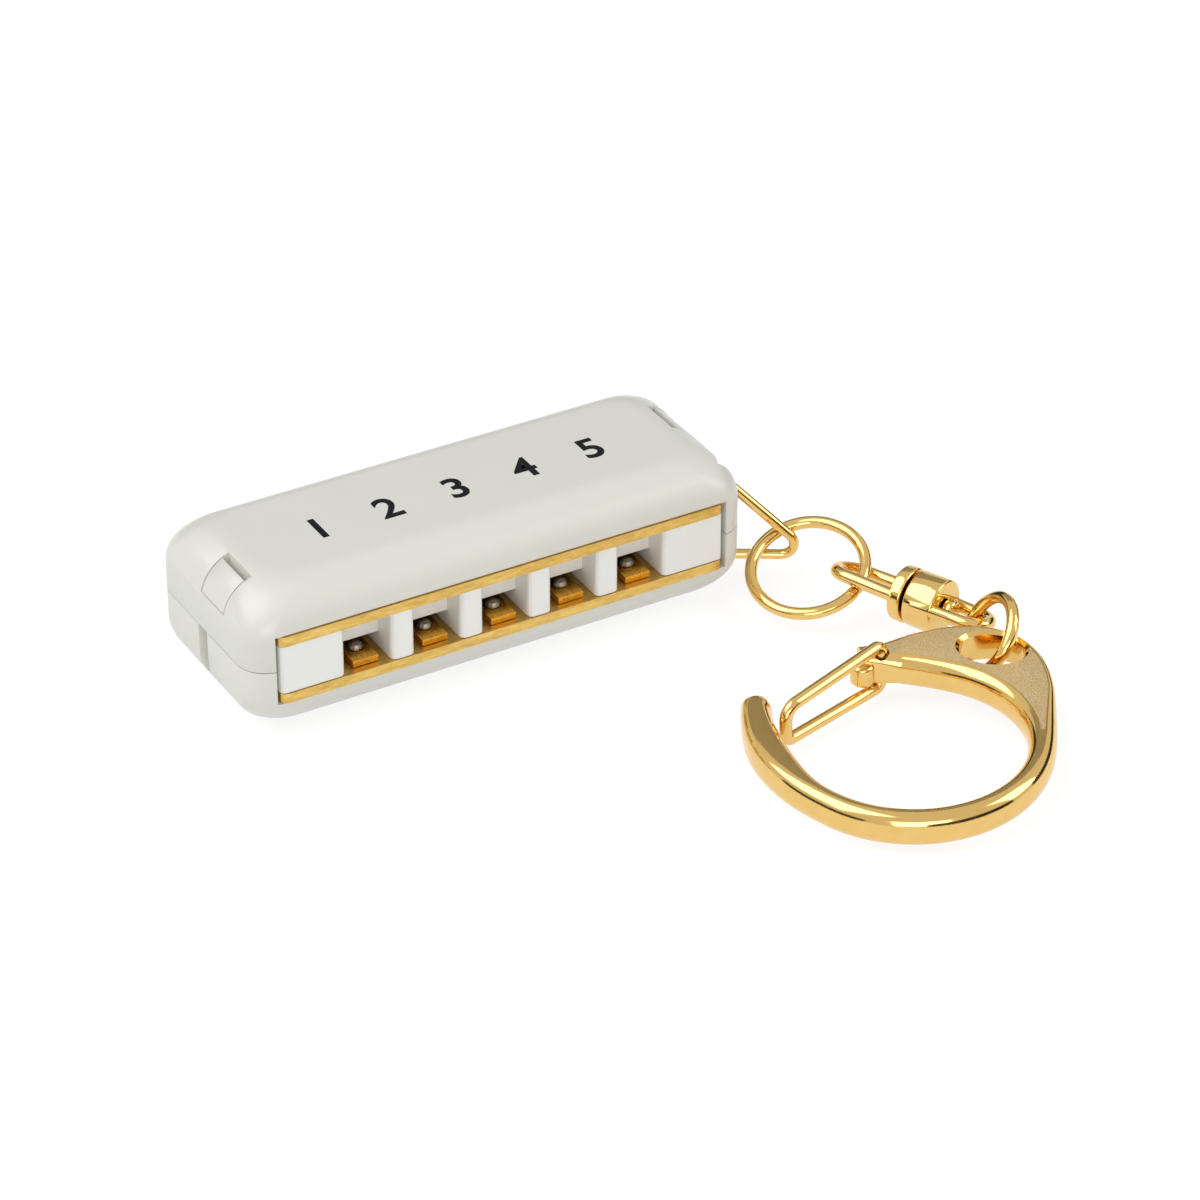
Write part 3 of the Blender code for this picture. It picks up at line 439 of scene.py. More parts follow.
def grid_mesh(name, points, ring=False):
    """Quads over a grid whose columns close on themselves. Row i joins row
    i + 1; the last row joins the first in a ring, and is capped otherwise."""
    rows, columns = points.shape[:2]
    i, j = np.meshgrid(np.arange(rows if ring else rows - 1), np.arange(columns),
                       indexing="ij")
    down = (i + 1) % rows
    right = (j + 1) % columns
    quads = np.stack([i * columns + j, i * columns + right,
                      down * columns + right, down * columns + j], axis=-1)
    faces = quads.reshape(-1, 4).tolist()
    if not ring:
        faces.append(list(range(columns)))
        faces.append(list(range((rows - 1) * columns, rows * columns)))
    mesh = bpy.data.meshes.new(name)
    mesh.from_pydata(points.reshape(-1, 3), [], faces)
    return mesh


def tidy_mesh(mesh, weld=1e-7):
    """Doubles merged and faces turned outwards."""
    bm = bmesh.new()
    bm.from_mesh(mesh)
    bmesh.ops.remove_doubles(bm, verts=bm.verts, dist=weld)
    bmesh.ops.recalc_face_normals(bm, faces=bm.faces)
    bm.to_mesh(mesh)
    bm.free()


def piece(name, mesh, *mats, sharp=40.0):
    """A finished object from a mesh, smooth but for edges sharper than sharp."""
    tidy_mesh(mesh)
    mesh.name = name
    mesh.materials.clear()
    for mat in mats:
        mesh.materials.append(mat)
    mesh.shade_smooth()
    mesh.set_sharp_from_angle(angle=math.radians(sharp))
    obj = bpy.data.objects.new(name, mesh)
    bpy.context.scene.collection.objects.link(obj)
    return obj


def stand_for(obj, node, body):
    """The piece rides on a body, hides the solid and prints its face count."""
    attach(obj, body)
    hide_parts(node)
    print(f"{obj.name}: {len(obj.data.polygons)} faces for {node}")


# %% [markdown]
# ### Cutting
# On the real pieces the mould or the punch leaves the holes. A hole could be
# left out of the grid, but its rim would follow the grid's lines. An exact
# Boolean gives a clean rim anywhere, and the result is kept as a plain mesh.

# %% Cutting helpers
def loose(mesh):
    """A passing object for a mesh that is about to be cut or joined."""
    tidy_mesh(mesh)
    obj = bpy.data.objects.new(mesh.name, mesh)
    bpy.context.scene.collection.objects.link(obj)
    return obj


def block(low, high):
    """A box between two corners: each corner takes x, y and z from one of them."""
    low, high = np.asarray(low, float), np.asarray(high, float)
    turn = np.array([(0, 0), (1, 0), (1, 1), (0, 1)], float)
    flat = low[:2] + turn * (high - low)[:2]
    rows = [np.column_stack([flat, np.full(4, z)]) for z in (low[2], high[2])]
    return grid_mesh("block", np.array(rows))


def combined(mesh, steps, soften=0.0):
    """The mesh after each (operation, other mesh) in turn, then an edge bevel."""
    base = loose(mesh)
    others = []
    for operation, other in steps:
        tool = loose(other)
        others.append(tool)
        step = base.modifiers.new(operation, "BOOLEAN")
        step.operation = operation
        step.object = tool
        step.solver = "EXACT"
    if soften:
        edge = base.modifiers.new("edge", "BEVEL")
        edge.width = soften
        edge.segments = 2
        edge.limit_method = "ANGLE"
        edge.angle_limit = math.radians(50)
        edge.use_clamp_overlap = True
    bpy.context.view_layer.update()
    graph = bpy.context.evaluated_depsgraph_get()
    result = bpy.data.meshes.new_from_object(base.evaluated_get(graph))
    for obj in [base, *others]:
        bpy.data.objects.remove(obj, do_unlink=True)
    return result


print("helpers for sections, grids and cuts are ready")

# %% [markdown]
# ## Covers
# Each cover is a moulded shell, half of one rounded bar. A bevelled box would
# give the long soft edge in a few flat strips, and one radius all round. Here
# the bar is a stack of rounded rectangles that draw in towards the top and the
# underside along a quarter circle, with a tighter edge at the rear.

# %% The rounded bar
LENGTH, DEPTH, HEIGHT = 0.0482, 0.0179, 0.0135
EDGE, REAR_EDGE = 0.0040, 0.0032
FRONT_CORNER, REAR_CORNER = 0.0028, 0.0023
CORNER_GROWTH = 0.30
FLAT_ROWS = np.array([1.06, 1.3, 1.9])


def bar_mesh(name, shrink=0.0, steps=20, turns=14):
    """Row i is a rounded rectangle at height z. Below the top by d, less than
    the edge radius R, each side is drawn in by R - sqrt(R^2 - (R - d)^2); the
    corners grow a little as the sides draw in. Rows of smaller rectangles
    then close the flat faces."""
    a = np.linspace(0.0, np.pi / 2, steps)
    rise = np.sin(a)
    drawn = 1 - np.cos(a)
    flat = np.full(len(FLAT_ROWS), HEIGHT / 2)
    z_top = np.concatenate([HEIGHT / 2 - EDGE + EDGE * rise, flat])
    draw = np.concatenate([drawn, FLAT_ROWS])
    z = np.concatenate([-z_top[::-1], z_top]) + HEIGHT / 2
    z = np.clip(z, shrink, HEIGHT - shrink)
    draw = np.concatenate([draw[::-1], draw])
    side = draw * EDGE + shrink
    rear = draw * REAR_EDGE + shrink
    grown = np.minimum(draw, 1.0) * EDGE * CORNER_GROWTH
    x1 = LENGTH / 2 - side
    y0 = -DEPTH / 2 + side
    y1 = DEPTH / 2 - rear
    front_r = np.minimum(FRONT_CORNER + grown, (y1 - y0) / 2.05)
    rear_r = np.minimum(REAR_CORNER + grown, (y1 - y0) / 2.05)
    t = np.linspace(0.0, np.pi / 2, turns)
    parts = []
    for quarter, (sx, sy) in enumerate(((1, 1), (-1, 1), (-1, -1), (1, -1))):
        r = rear_r if sy > 0 else front_r
        cx = sx * (x1 - r)
        cy = (y1 - r) if sy > 0 else (y0 + r)
        angle = t + quarter * np.pi / 2
        x = cx[:, None] + r[:, None] * np.cos(angle)
        y = cy[:, None] + r[:, None] * np.sin(angle)
        parts.append(np.stack([x, y, np.broadcast_to(z[:, None], x.shape)], axis=-1))
    return grid_mesh(name, np.concatenate(parts, axis=1))


print("bar of", LENGTH, "by", DEPTH, "by", HEIGHT, "m")

# %% [markdown]
# ### Windows, slots and recesses
# Inside, a real cover is hollow: a bay for the plates, the space over the reeds
# and a sound slot at the rear. The ends have the snap windows and the bail's
# recess. The cuts repeat those of the solid covers, so every wall is as thick
# there, and each cut is a box or a round bar that one line can place.

# %% Cover cuts
MIDDLE = HEIGHT / 2
FRONT = -DEPTH / 2
PART_GAP = 0.00005
OUTSIDE = 0.002
PLATE_LENGTH, PLATE_DEPTH, PLATE_THICK = 0.0430, 0.0160, 0.00093
FIT = 0.00025
UPPER_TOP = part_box("upper_reed_plate")[1][2]
LOWER_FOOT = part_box("lower_reed_plate")[0][2]
BAY = PLATE_LENGTH / 2 + FIT
PLATE_OVERHANG = 0.00015
BAY_REAR = FRONT - PLATE_OVERHANG + PLATE_DEPTH + FIT
COVER_ROOF, SLOT_HEIGHT, SLOT_HALF = 0.0013, 0.0016, 0.016
REAR_WALL, END_LEDGE, FRONT_LEDGE = 0.0018, 0.0018, 0.0021
FAR = 0.1
BAIL_PIVOT = np.array([LENGTH / 2 - 0.0012, -0.00475, 0.0])
RECESS_WIDTH, RECESS_SHIFT = 0.0036, 0.0003
RECESS_TOP, RECESS_FOOT = (0.0083, 0.01235), (0.00115, 0.0037)
BORE_RADIUS, BORE_REACH = 0.0007, 0.0046
TAB_WIDTH, TAB_OFFSET, TAB_FIT, TAB_SILL = 0.0040, 0.0017, 0.00015, 0.0102
WINDOW_DEPTH, ARM_FROM, ARM_TO, ARM_FOOT = 0.00285, 0.00135, 0.00215, 0.002
WINDOW_WALL, WINDOW_FOOT = 0.0012, 0.001
GROOVE_DEPTH, GROOVE_HALF, GROOVE_SHIFT = 0.0007, 0.00085, 0.00025


def end_block(side, x_from, x_to, low, high, y0, y1):
    """A box at one end, its x given as distances in from the end face."""
    xs = sorted((side * (LENGTH / 2 - x_from), side * (LENGTH / 2 - x_to)))
    return block((xs[0], y0, low), (xs[1], y1, high))


def round_bar(radius, low, high, centre, sides=32):
    """An upright cylinder: two equal circles at two heights."""
    t = np.linspace(0, 2 * np.pi, sides, endpoint=False)
    circle = np.array(centre[:2]) + radius * np.column_stack([np.cos(t), np.sin(t)])
    rows = [np.column_stack([circle, np.full(sides, z)]) for z in (low, high)]
    return grid_mesh("pin_hole", np.array(rows))


def interior_cuts(top):
    """The plates' bay, the space over the reeds and the sound slot."""
    inward = -1 if top else 1
    ledge = UPPER_TOP + PART_GAP if top else LOWER_FOOT - PART_GAP
    crown = HEIGHT - COVER_ROOF if top else COVER_ROOF
    bay = sorted((MIDDLE + inward * PLATE_THICK, ledge))
    space = sorted((MIDDLE, crown))
    slot = sorted((crown, crown + inward * SLOT_HEIGHT))
    inner = PLATE_LENGTH / 2 - END_LEDGE
    return [block((-BAY, -FAR, bay[0]), (BAY, BAY_REAR, bay[1])),
            block((-inner, FRONT + FRONT_LEDGE, space[0]), (inner, BAY_REAR, space[1])),
            block((-SLOT_HALF, BAY_REAR - REAR_WALL, slot[0]), (SLOT_HALF, FAR, slot[1]))]


def bail_cuts(top):
    """The recess that the bail swings in and the bore for its pin."""
    y0 = BAIL_PIVOT[1] + RECESS_SHIFT - RECESS_WIDTH / 2
    y1 = y0 + RECESS_WIDTH
    low, high = RECESS_TOP if top else RECESS_FOOT
    return [end_block(1, -OUTSIDE, LENGTH / 2 - BAY + FIT, low, high, y0, y1),
            round_bar(BORE_RADIUS, MIDDLE - BORE_REACH, MIDDLE + BORE_REACH, BAIL_PIVOT)]


def tab_span(side):
    """Where a snap tab begins and ends across the end face."""
    return side * TAB_OFFSET - TAB_WIDTH / 2, side * TAB_OFFSET + TAB_WIDTH / 2


print("cover roofs are", COVER_ROOF * 1000, "mm thick")

# %% [markdown]
# ### Shells and snap tabs
# The bottom cover's two arms rise inside the end walls, and their heads snap
# into the top cover's windows. A head could be a plain block, but the real one
# carries on the cover's round edge, so each is cut from the same rounded bar,
# made smaller by a hair all round.

# %% The two covers
EDGE_SOFT = 0.00006

top_steps = [("DIFFERENCE", block((-FAR, -FAR, -FAR), (FAR, FAR, MIDDLE + PART_GAP)))]
top_steps += [("DIFFERENCE", m) for m in interior_cuts(True)]
for side in (-1, 1):
    y0, y1 = tab_span(side)
    y0, y1 = y0 - TAB_FIT, y1 + TAB_FIT
    top_steps.append(("DIFFERENCE", end_block(side, WINDOW_WALL, LENGTH / 2 - BAY + FIT,
                                              MIDDLE - WINDOW_FOOT, TAB_SILL + TAB_FIT, y0, y1)))
    top_steps.append(("DIFFERENCE", end_block(side, -OUTSIDE, WINDOW_DEPTH,
                                              TAB_SILL, FAR, y0, y1)))
top_steps += [("DIFFERENCE", m) for m in bail_cuts(True)]
top_mesh = combined(bar_mesh("top"), top_steps, EDGE_SOFT)
top_cover = piece("cover_top", top_mesh, cover_plastic)
stand_for(top_cover, "top_cover", "harmonica")

bottom_steps = [("DIFFERENCE", block((-FAR, -FAR, MIDDLE - PART_GAP), (FAR, FAR, FAR)))]
bottom_steps += [("DIFFERENCE", m) for m in interior_cuts(False) + bail_cuts(False)]
for side in (-1, 1):
    y0, y1 = tab_span(side)
    groove = -side * GROOVE_SHIFT
    bottom_steps.append(("DIFFERENCE", end_block(side, -OUTSIDE, GROOVE_DEPTH, -FAR, FAR,
                                                 groove - GROOVE_HALF, groove + GROOVE_HALF)))
    bottom_steps.append(("UNION", end_block(side, ARM_FROM, ARM_TO, MIDDLE - ARM_FOOT,
                                            TAB_SILL + 3 * TAB_FIT, y0, y1)))
    head = combined(bar_mesh("head", TAB_FIT / 3), [("INTERSECT", end_block(
        side, -OUTSIDE, ARM_TO, TAB_SILL + TAB_FIT, FAR, y0, y1))])
    bottom_steps.append(("UNION", head))
bottom_mesh = combined(bar_mesh("bottom"), bottom_steps, EDGE_SOFT)
bottom_cover = piece("cover_bottom", bottom_mesh, cover_plastic)
stand_for(bottom_cover, "bottom_cover", "harmonica")

# %% [markdown]
# ## Hole numbers
# Plain numbers over the five holes are what such an instrument commonly
# carries, printed on the flat top. A picture could carry them, but letters of
# a font stay sharp at any size. They are as thick as a layer of ink, two
# hundredths of a millimetre.

# %% Printed numbers
def print_ink():
    """Matt black ink that hardly mirrors the lamps."""
    f = Finish("black_ink", (0.006, 0.006, 0.007), 0.5)
    f.roughness(f.spread(f.noise(3000.0), 0.45, 0.60))
    f.shader.inputs["Specular IOR Level"].default_value = 0.15
    return f.mat


NUMBER_SIZE, NUMBER_STEP, NUMBER_FOOT = 0.0044, 0.0066, -0.0017
INK_HALF, INK_SPREAD = 0.00001, 0.00008
ink = print_ink()
for count in range(5):
    curve = bpy.data.curves.new(f"number_{count + 1}", "FONT")
    curve.body = str(count + 1)
    curve.size = NUMBER_SIZE
    curve.align_x = "CENTER"
    curve.extrude = INK_HALF
    curve.offset = INK_SPREAD
    text = bpy.data.objects.new(curve.name, curve)
    bpy.context.scene.collection.objects.link(text)
    bpy.context.view_layer.update()
    graph = bpy.context.evaluated_depsgraph_get()
    mesh = bpy.data.meshes.new_from_object(text.evaluated_get(graph))
    bpy.data.objects.remove(text, do_unlink=True)
    place = ((count - 2) * NUMBER_STEP, NUMBER_FOOT, HEIGHT + INK_HALF)
    mesh.transform(Matrix.Translation(place))
    number = piece(f"number_{count + 1}", mesh, ink)
    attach(number, "harmonica")
print("numbers 1 to 5 stand over the holes")

# %% [markdown]
# ## Wires
# Bail, rings, link loops and gate are bent from round wire. A curve object with
# a bevel would do for the bends, but not for the blunted ends. Each wire lies
# in one plane, so the plane's normal and its cross product with the path's
# direction carry the circle without any twist.

# %% Wire helpers
END_SHARE, SHOULDER_SHARE = 0.80, 0.93


def bent_path(corners, radii, steps=9):
    """Straight runs joined by arcs. About a corner, the arc's centre lies on the
    bisector at r / sin(half the opening), and the arc turns from the point
    where the circle touches one run to where it touches the next."""
    corners = [np.asarray(c, float) for c in corners]
    rows = [corners[0][None]]
    for before, corner, after, r in zip(corners, corners[1:], corners[2:], radii):
        back, ahead = unit(before - corner), unit(after - corner)
        opening = math.acos(float(np.clip(back @ ahead, -1, 1)))
        centre = corner + unit(back + ahead) * r / math.sin(opening / 2)
        start = corner + back * r / math.tan(opening / 2) - centre
        axis = unit(np.cross(start, -back))
        t = np.linspace(0.0, math.pi - opening, steps)[:, None]
        rows.append(centre + np.cos(t) * start + np.sin(t) * np.cross(axis, start))
    rows.append(corners[-1][None])
    return np.concatenate(rows)


def wire_mesh(name, path, normal, diameter, ring=False, sides=28, blunt=0.12):
    """A circle carried along a flat path: point (i, j) is path i plus
    r cos(v) along the normal plus r sin(v) across it. The ends are blunted by
    two smaller circles."""
    radius = np.full(len(path), diameter / 2)
    if not ring:
        ahead = unit(path[1] - path[0]) * diameter * blunt
        behind = unit(path[-2] - path[-1]) * diameter * blunt
        path = np.concatenate([[path[0], path[0] + ahead * 0.3, path[0] + ahead],
                               path[1:-1],
                               [path[-1] + behind, path[-1] + behind * 0.3, path[-1]]])
        radius = np.full(len(path), diameter / 2)
        radius[[0, -1]] *= END_SHARE
        radius[[1, -2]] *= SHOULDER_SHARE
    step = (np.roll(path, -1, 0) - np.roll(path, 1, 0)) if ring else np.gradient(path, axis=0)
    side = unit(np.cross(np.asarray(normal, float), unit(step)))
    v = np.linspace(0, 2 * np.pi, sides, endpoint=False)
    across = np.broadcast_to(unit(normal), side.shape)
    return grid_mesh(name, carried(path, across, side, radius[:, None] * np.cos(v),
                                   radius[:, None] * np.sin(v)), ring)


print("wire ends narrow to", END_SHARE, "of the wire")

# %% [markdown]
# ### Bail
# The wire bail is one V of spring wire; its turned-in ends are the pins that
# sit in the covers. Five corners and three bend radii describe it, as they
# would for a bending jig. Heights are above the table.

# %% The bail
UP = np.array([0.0, 0.0, 1.0])
BAIL_WIRE, BAIL_REACH, BAIL_TURN = 0.0009, 0.0089, math.radians(-31.4)
BAIL_LOW, BAIL_HIGH = 0.0022, 0.0107
PIN_LOW, PIN_HIGH = 0.0042, 0.0076
PIN_BEND, TIP_BEND = 0.0008, 0.00115
bail_out = np.array([math.cos(BAIL_TURN), math.sin(BAIL_TURN), 0.0])
bail_path = bent_path([BAIL_PIVOT + UP * PIN_HIGH, BAIL_PIVOT + UP * BAIL_HIGH,
                       BAIL_PIVOT + bail_out * BAIL_REACH + UP * BAIL_LOW,
                       BAIL_PIVOT + UP * BAIL_LOW, BAIL_PIVOT + UP * PIN_LOW],
                      [PIN_BEND, TIP_BEND, PIN_BEND])
bail = piece("bail", wire_mesh("bail", bail_path, np.cross(UP, bail_out), BAIL_WIRE), gold)
stand_for(bail, "wire_bail", "bail")

# %% [markdown]
# ### Rings
# Both rings are wound from wire, so each has a butt joint: a hair-line gap
# between two blunt ends. A torus has no such joint, and the light that stops at
# the gap tells that the ring can be opened.

# %% The rings
def ring_path(centre, normal, radius, joint, gap, steps=110):
    """An arc of almost a full turn in the ring's plane. Its angle starts half
    the gap past the joint's direction and stops half the gap before it."""
    normal = unit(normal)
    first = np.asarray(joint, float) - np.dot(joint, normal) * normal
    first = unit(first)
    second = np.cross(normal, first)
    half = gap / radius / 2
    t = np.linspace(half, 2 * np.pi - half, steps)[:, None]
    return np.asarray(centre) + radius * (np.cos(t) * first + np.sin(t) * second)


RING_CENTRE, RING_NORMAL = (0.02830, -0.01199, 0.00297), (-0.304, -0.212, 0.929)
SMALL_CENTRE, SMALL_NORMAL = (0.03549, -0.02938, 0.00346), (-0.823, 0.226, 0.521)
RING_RADIUS, SMALL_RADIUS, RING_WIRE = 0.00503, 0.0034, 0.0011
RING_JOINT, RING_GAP = (0.35, -0.94, 0.0), 0.00010
SMALL_JOINT, SMALL_GAP = (0.2, -0.5, -0.8), 0.00008
large_path = ring_path(RING_CENTRE, RING_NORMAL, RING_RADIUS, RING_JOINT, RING_GAP)
large_ring = piece("large_ring", wire_mesh("large_ring", large_path, RING_NORMAL, RING_WIRE),
                   gold)
stand_for(large_ring, "large_jump_ring", "large_ring")
small_path = ring_path(SMALL_CENTRE, SMALL_NORMAL, SMALL_RADIUS, SMALL_JOINT, SMALL_GAP, 80)
small_ring = piece("small_ring", wire_mesh("small_ring", small_path, SMALL_NORMAL, RING_WIRE),
                   gold)
stand_for(small_ring, "small_jump_ring", "small_ring")

# %% [markdown]
# ## Swivel
# Two links turn on one pin. Each link is a bored collar with a wire loop whose
# arms are brazed to the collar's sides. Collars and pin are turned on a lathe,
# so they are made the same way here: a profile carried round the axis.

# %% Swivel frames
SWIVEL_CENTRE = np.array([0.033657, -0.02078, 0.003121])
HEADING = math.radians(-66.5)
along = np.array([math.cos(HEADING), math.sin(HEADING), 0.0])
level = np.array([-along[1], along[0], 0.0])


def rolled(roll):
    """The across direction turned about the swivel's axis, and the normal."""
    across = math.cos(roll) * level + math.sin(roll) * UP
    return across, np.cross(along, across)


def turned_mesh(name, profile, sides=72):
    """A profile of (distance along the axis, radius) turned about the axis:
    point (i, j) is centre + along * s i + r i (cos v level + sin v up)."""
    s, r = np.asarray(profile, float).T
    v = np.linspace(0, 2 * np.pi, sides, endpoint=False)
    path = SWIVEL_CENTRE + s[:, None] * along
    first = np.broadcast_to(level, path.shape)
    second = np.broadcast_to(np.cross(along, level), path.shape)
    return carried(path, first, second, r[:, None] * np.cos(v), r[:, None] * np.sin(v))


def rounded_profile(low, high, radius, edge, steps=5):
    """Across one rim, along the outside and across the other: both outer
    edges are quarter circles of the given edge radius."""
    t = np.linspace(0, np.pi / 2, steps)
    rise = np.column_stack([low + edge - edge * np.cos(t), radius - edge + edge * np.sin(t)])
    fall = np.column_stack([high - edge + edge * np.sin(t), radius - edge + edge * np.cos(t)])
    return np.concatenate([rise, fall])


def collar_mesh(low, high, bore=0.00085, radius=0.0025, edge=0.00022, ease=0.00008):
    """A round block between two places on the axis, its bore eased at both ends."""
    outside = rounded_profile(low, high, radius, edge)
    inside = np.array([[high, bore + ease], [high - ease, bore],
                       [low + ease, bore], [low, bore + ease]])
    return grid_mesh("collar", turned_mesh("collar", np.concatenate([outside, inside])),
                     ring=True)


print("swivel axis heads", round(math.degrees(HEADING), 1), "degrees")

# %% [markdown]
# ### Links and pin
# The two collars lie face to face with a thin gap, and the loops look away from
# it. Each loop is joined to its collar by a Boolean union, as brazing would
# leave it: one piece without a seam. The pin's heads keep the collars together.

# %% Links and pin
FACE_GAP, COLLAR_A, COLLAR_B = 0.00015, 0.00135, 0.00305
LOOP_A, LOOP_B = (0.00775, 0.00365), (0.00734, 0.0033)
ROLL_A, ROLL_B = math.radians(-21.5), math.radians(-15.9)
SHANK, HEAD_A, HEAD_B = 0.0006, 0.00085, 0.00095
HEAD_A_FROM, HEAD_A_TO, HEAD_B_FROM, HEAD_B_TO = -0.00195, -0.00145, 0.00315, 0.00415
TIP, HEAD_A_FLAT, HEAD_A_EDGE, HEAD_B_EDGE = 0.00002, 0.00065, 0.00015, 0.0003


def link_loop(reach, width, direction, roll, wire=0.0012, spread=0.00415, set_in=0.0003):
    """Two straight arms that start beside the collar and meet in a half circle."""
    across, normal = rolled(roll)
    start = direction * (wire / 2 + set_in)
    bend = direction * (reach - width / 2)
    t = np.linspace(np.pi / 2, -np.pi / 2, 40)
    s = np.concatenate([[start], bend + direction * width / 2 * np.cos(t), [start]])
    w = np.concatenate([[spread / 2], width / 2 * np.sin(t), [-spread / 2]])
    path = SWIVEL_CENTRE + s[:, None] * along + w[:, None] * across
    return wire_mesh("loop", path, normal, wire, sides=32)


link_a_mesh = combined(collar_mesh(-COLLAR_A, -FACE_GAP),
                       [("UNION", link_loop(*LOOP_A, -1, ROLL_A))])
link_a = piece("link_to_large_ring", link_a_mesh, gold)
stand_for(link_a, "swivel_link_a", "swivel_a")
link_b_mesh = combined(collar_mesh(FACE_GAP, COLLAR_B),
                       [("UNION", link_loop(*LOOP_B, 1, ROLL_B))])
link_b = piece("link_to_small_ring", link_b_mesh, gold)
stand_for(link_b, "swivel_link_b", "swivel_b")

pin_profile = np.concatenate([
    [[HEAD_A_FROM, TIP], [HEAD_A_FROM, HEAD_A_FLAT]],
    rounded_profile(HEAD_A_FROM, HEAD_A_TO, HEAD_A, HEAD_A_EDGE),
    [[HEAD_A_TO, SHANK], [HEAD_B_FROM, SHANK]],
    rounded_profile(HEAD_B_FROM, HEAD_B_TO, HEAD_B, HEAD_B_EDGE),
    [[HEAD_B_TO, TIP]]])
pin = piece("swivel_rivet", grid_mesh("pin", turned_mesh("pin", pin_profile)), gold)
stand_for(pin, "swivel_pin", "swivel_a")

# %% [markdown]
# ## Clasp
# The clasp is cast as a C: a round-edged tube at the hook, widening into a flat
# plate at the eye. An outline could be extruded and bevelled, but then the tube
# would be as square as the plate. The plan is worked out in polar form about the
# middle of the loop, so each section is a rounded rectangle between two radii
# and its corners can soften from the plate to the tube. Angles are in degrees.

# %% The clasp's plan
CLASP_CORNER = np.array([0.0116, -0.04525, 0.0])
CLASP_TILT, CLASP_RISE = math.radians(2.75), math.radians(32.9)
CLASP_THICK = 0.0031
CLASP_CENTRE = np.array([0.01015, 0.0066])
NOSE, HINGE = 129.0, 437.5
INNER, TUBE = 0.0096, 0.0023
NOSE_FROM, NOSE_FLARE = 176.0, 0.0026
SWELL_FROM, SWELL_TO, SWELL = 200.0, 105.0, 0.0009
HINGE_FROM, SQUARE_FROM = 396.0, 422.0
HINGE_FLARE, HINGE_SWELL = 0.0015, 0.0008
PLATE_ANGLE, PLATE_REACH, PLATE_BEFORE, PLATE_AFTER = 389.0, 0.00505, 32.5, 31.0
TUBE_WIDE, TUBE_RISE, PLATE_ROUND, HINGE_ROUND = 0.0011, 0.00145, 0.0006, 0.0005


def clasp_frame():
    """The clasp's plane: flat, then tilted up along the rise direction."""
    rise = Vector((math.cos(CLASP_RISE), math.sin(CLASP_RISE), 0.0))
    tilt = Matrix.Rotation(CLASP_TILT, 4, rise.cross(Vector(UP)))
    return Matrix.Translation(Vector(CLASP_CORNER)) @ tilt


def clasp_radii(angle):
    """The inner radius flares at the nose and the hinge by the square of the way
    into each. The outer one lies the tube's width beyond it, with a squared sine
    added behind the nose and a bell curve about the plate's angle."""
    nose = np.clip((NOSE_FROM - angle) / (NOSE_FROM - NOSE), 0, None)
    hinge = np.clip((angle - HINGE_FROM) / (HINGE - HINGE_FROM), 0, None)
    spread = np.where(angle < PLATE_ANGLE, PLATE_BEFORE, PLATE_AFTER)
    plate = PLATE_REACH * np.exp(-((angle - PLATE_ANGLE) / spread) ** 2)
    inner = INNER + NOSE_FLARE * nose ** 2
    share = np.clip((SWELL_FROM - angle) / (SWELL_FROM - SWELL_TO), 0, None)
    outer = inner + TUBE + SWELL * np.sin(np.pi * share) ** 2 + plate
    return inner + HINGE_FLARE * hinge ** 2, outer + HINGE_SWELL * hinge ** 2


def clasp_sections(angle, inner, outer, height, steps=12):
    """Each section is a rectangle with oval corners, almost an oval on the
    tube. The outer corners tighten where the plate is wide and all of them
    towards the hinge; height is each section's share of the full thickness."""
    wide = np.minimum(TUBE_WIDE, 0.46 * (outer - inner))
    square = np.clip((angle - SQUARE_FROM) / (HINGE - SQUARE_FROM), 0, 1)
    flat = np.maximum(np.clip(2.5 * (outer - inner - TUBE) / PLATE_REACH, 0, 1), square)
    near = (wide + (HINGE_ROUND - wide) * square,
            TUBE_RISE + (HINGE_ROUND - TUBE_RISE) * square)
    out = (wide + (PLATE_ROUND - wide) * flat,
           TUBE_RISE + (PLATE_ROUND - TUBE_RISE) * flat)
    low = CLASP_THICK * (1 - height) / 2
    t = np.linspace(0, np.pi / 2, steps)
    radius, level = [], []
    for quarter, (far, high) in enumerate(((1, 1), (0, 1), (0, 0), (1, 0))):
        w, h = out if far else near
        w, h = w[:, None], (h * height)[:, None]
        x = (outer[:, None] - w) if far else (inner[:, None] + w)
        z = (CLASP_THICK - low[:, None] - h) if high else (low[:, None] + h)
        radius.append(x + w * np.cos(t + quarter * np.pi / 2))
        level.append(z + h * np.sin(t + quarter * np.pi / 2))
    radius, level = np.concatenate(radius, 1), np.concatenate(level, 1)
    a = np.radians(angle)[:, None]
    return np.stack([CLASP_CENTRE[0] + radius * np.cos(a),
                     CLASP_CENTRE[1] + radius * np.sin(a), level], axis=-1)


def clasp_blank(count=240):
    """Sections from the rounded nose tip round to the hinge. At the tip, turned
    by u, the width shrinks with cos u and the height with its square root."""
    inner, outer = (float(v[0]) for v in clasp_radii(np.array([NOSE])))
    middle, half = (inner + outer) / 2, (outer - inner) / 2
    tip = np.radians(np.linspace(80, 8, 9))
    ahead = np.degrees(half * np.sin(tip) / middle)
    body = np.linspace(NOSE, HINGE, count)
    angle = np.concatenate([NOSE - ahead, body])
    low, high = clasp_radii(body)
    low = np.concatenate([middle - half * np.cos(tip), low])
    high = np.concatenate([middle + half * np.cos(tip), high])
    height = np.concatenate([np.sqrt(np.cos(tip)), np.ones(count)])
    return grid_mesh("clasp", clasp_sections(angle, low, high, height))


print("clasp sections from", NOSE, "to", HINGE, "degrees")

# %% [markdown]
# ### Eye, knob and gate seats
# The eye is an oval hole with a bevelled rim. A small round lug stands at the
# hinge end, and the gate's pins turn in a bore beside it. The casting's core
# leaves the eye and a drill the bore, so both are cut out of the finished C.

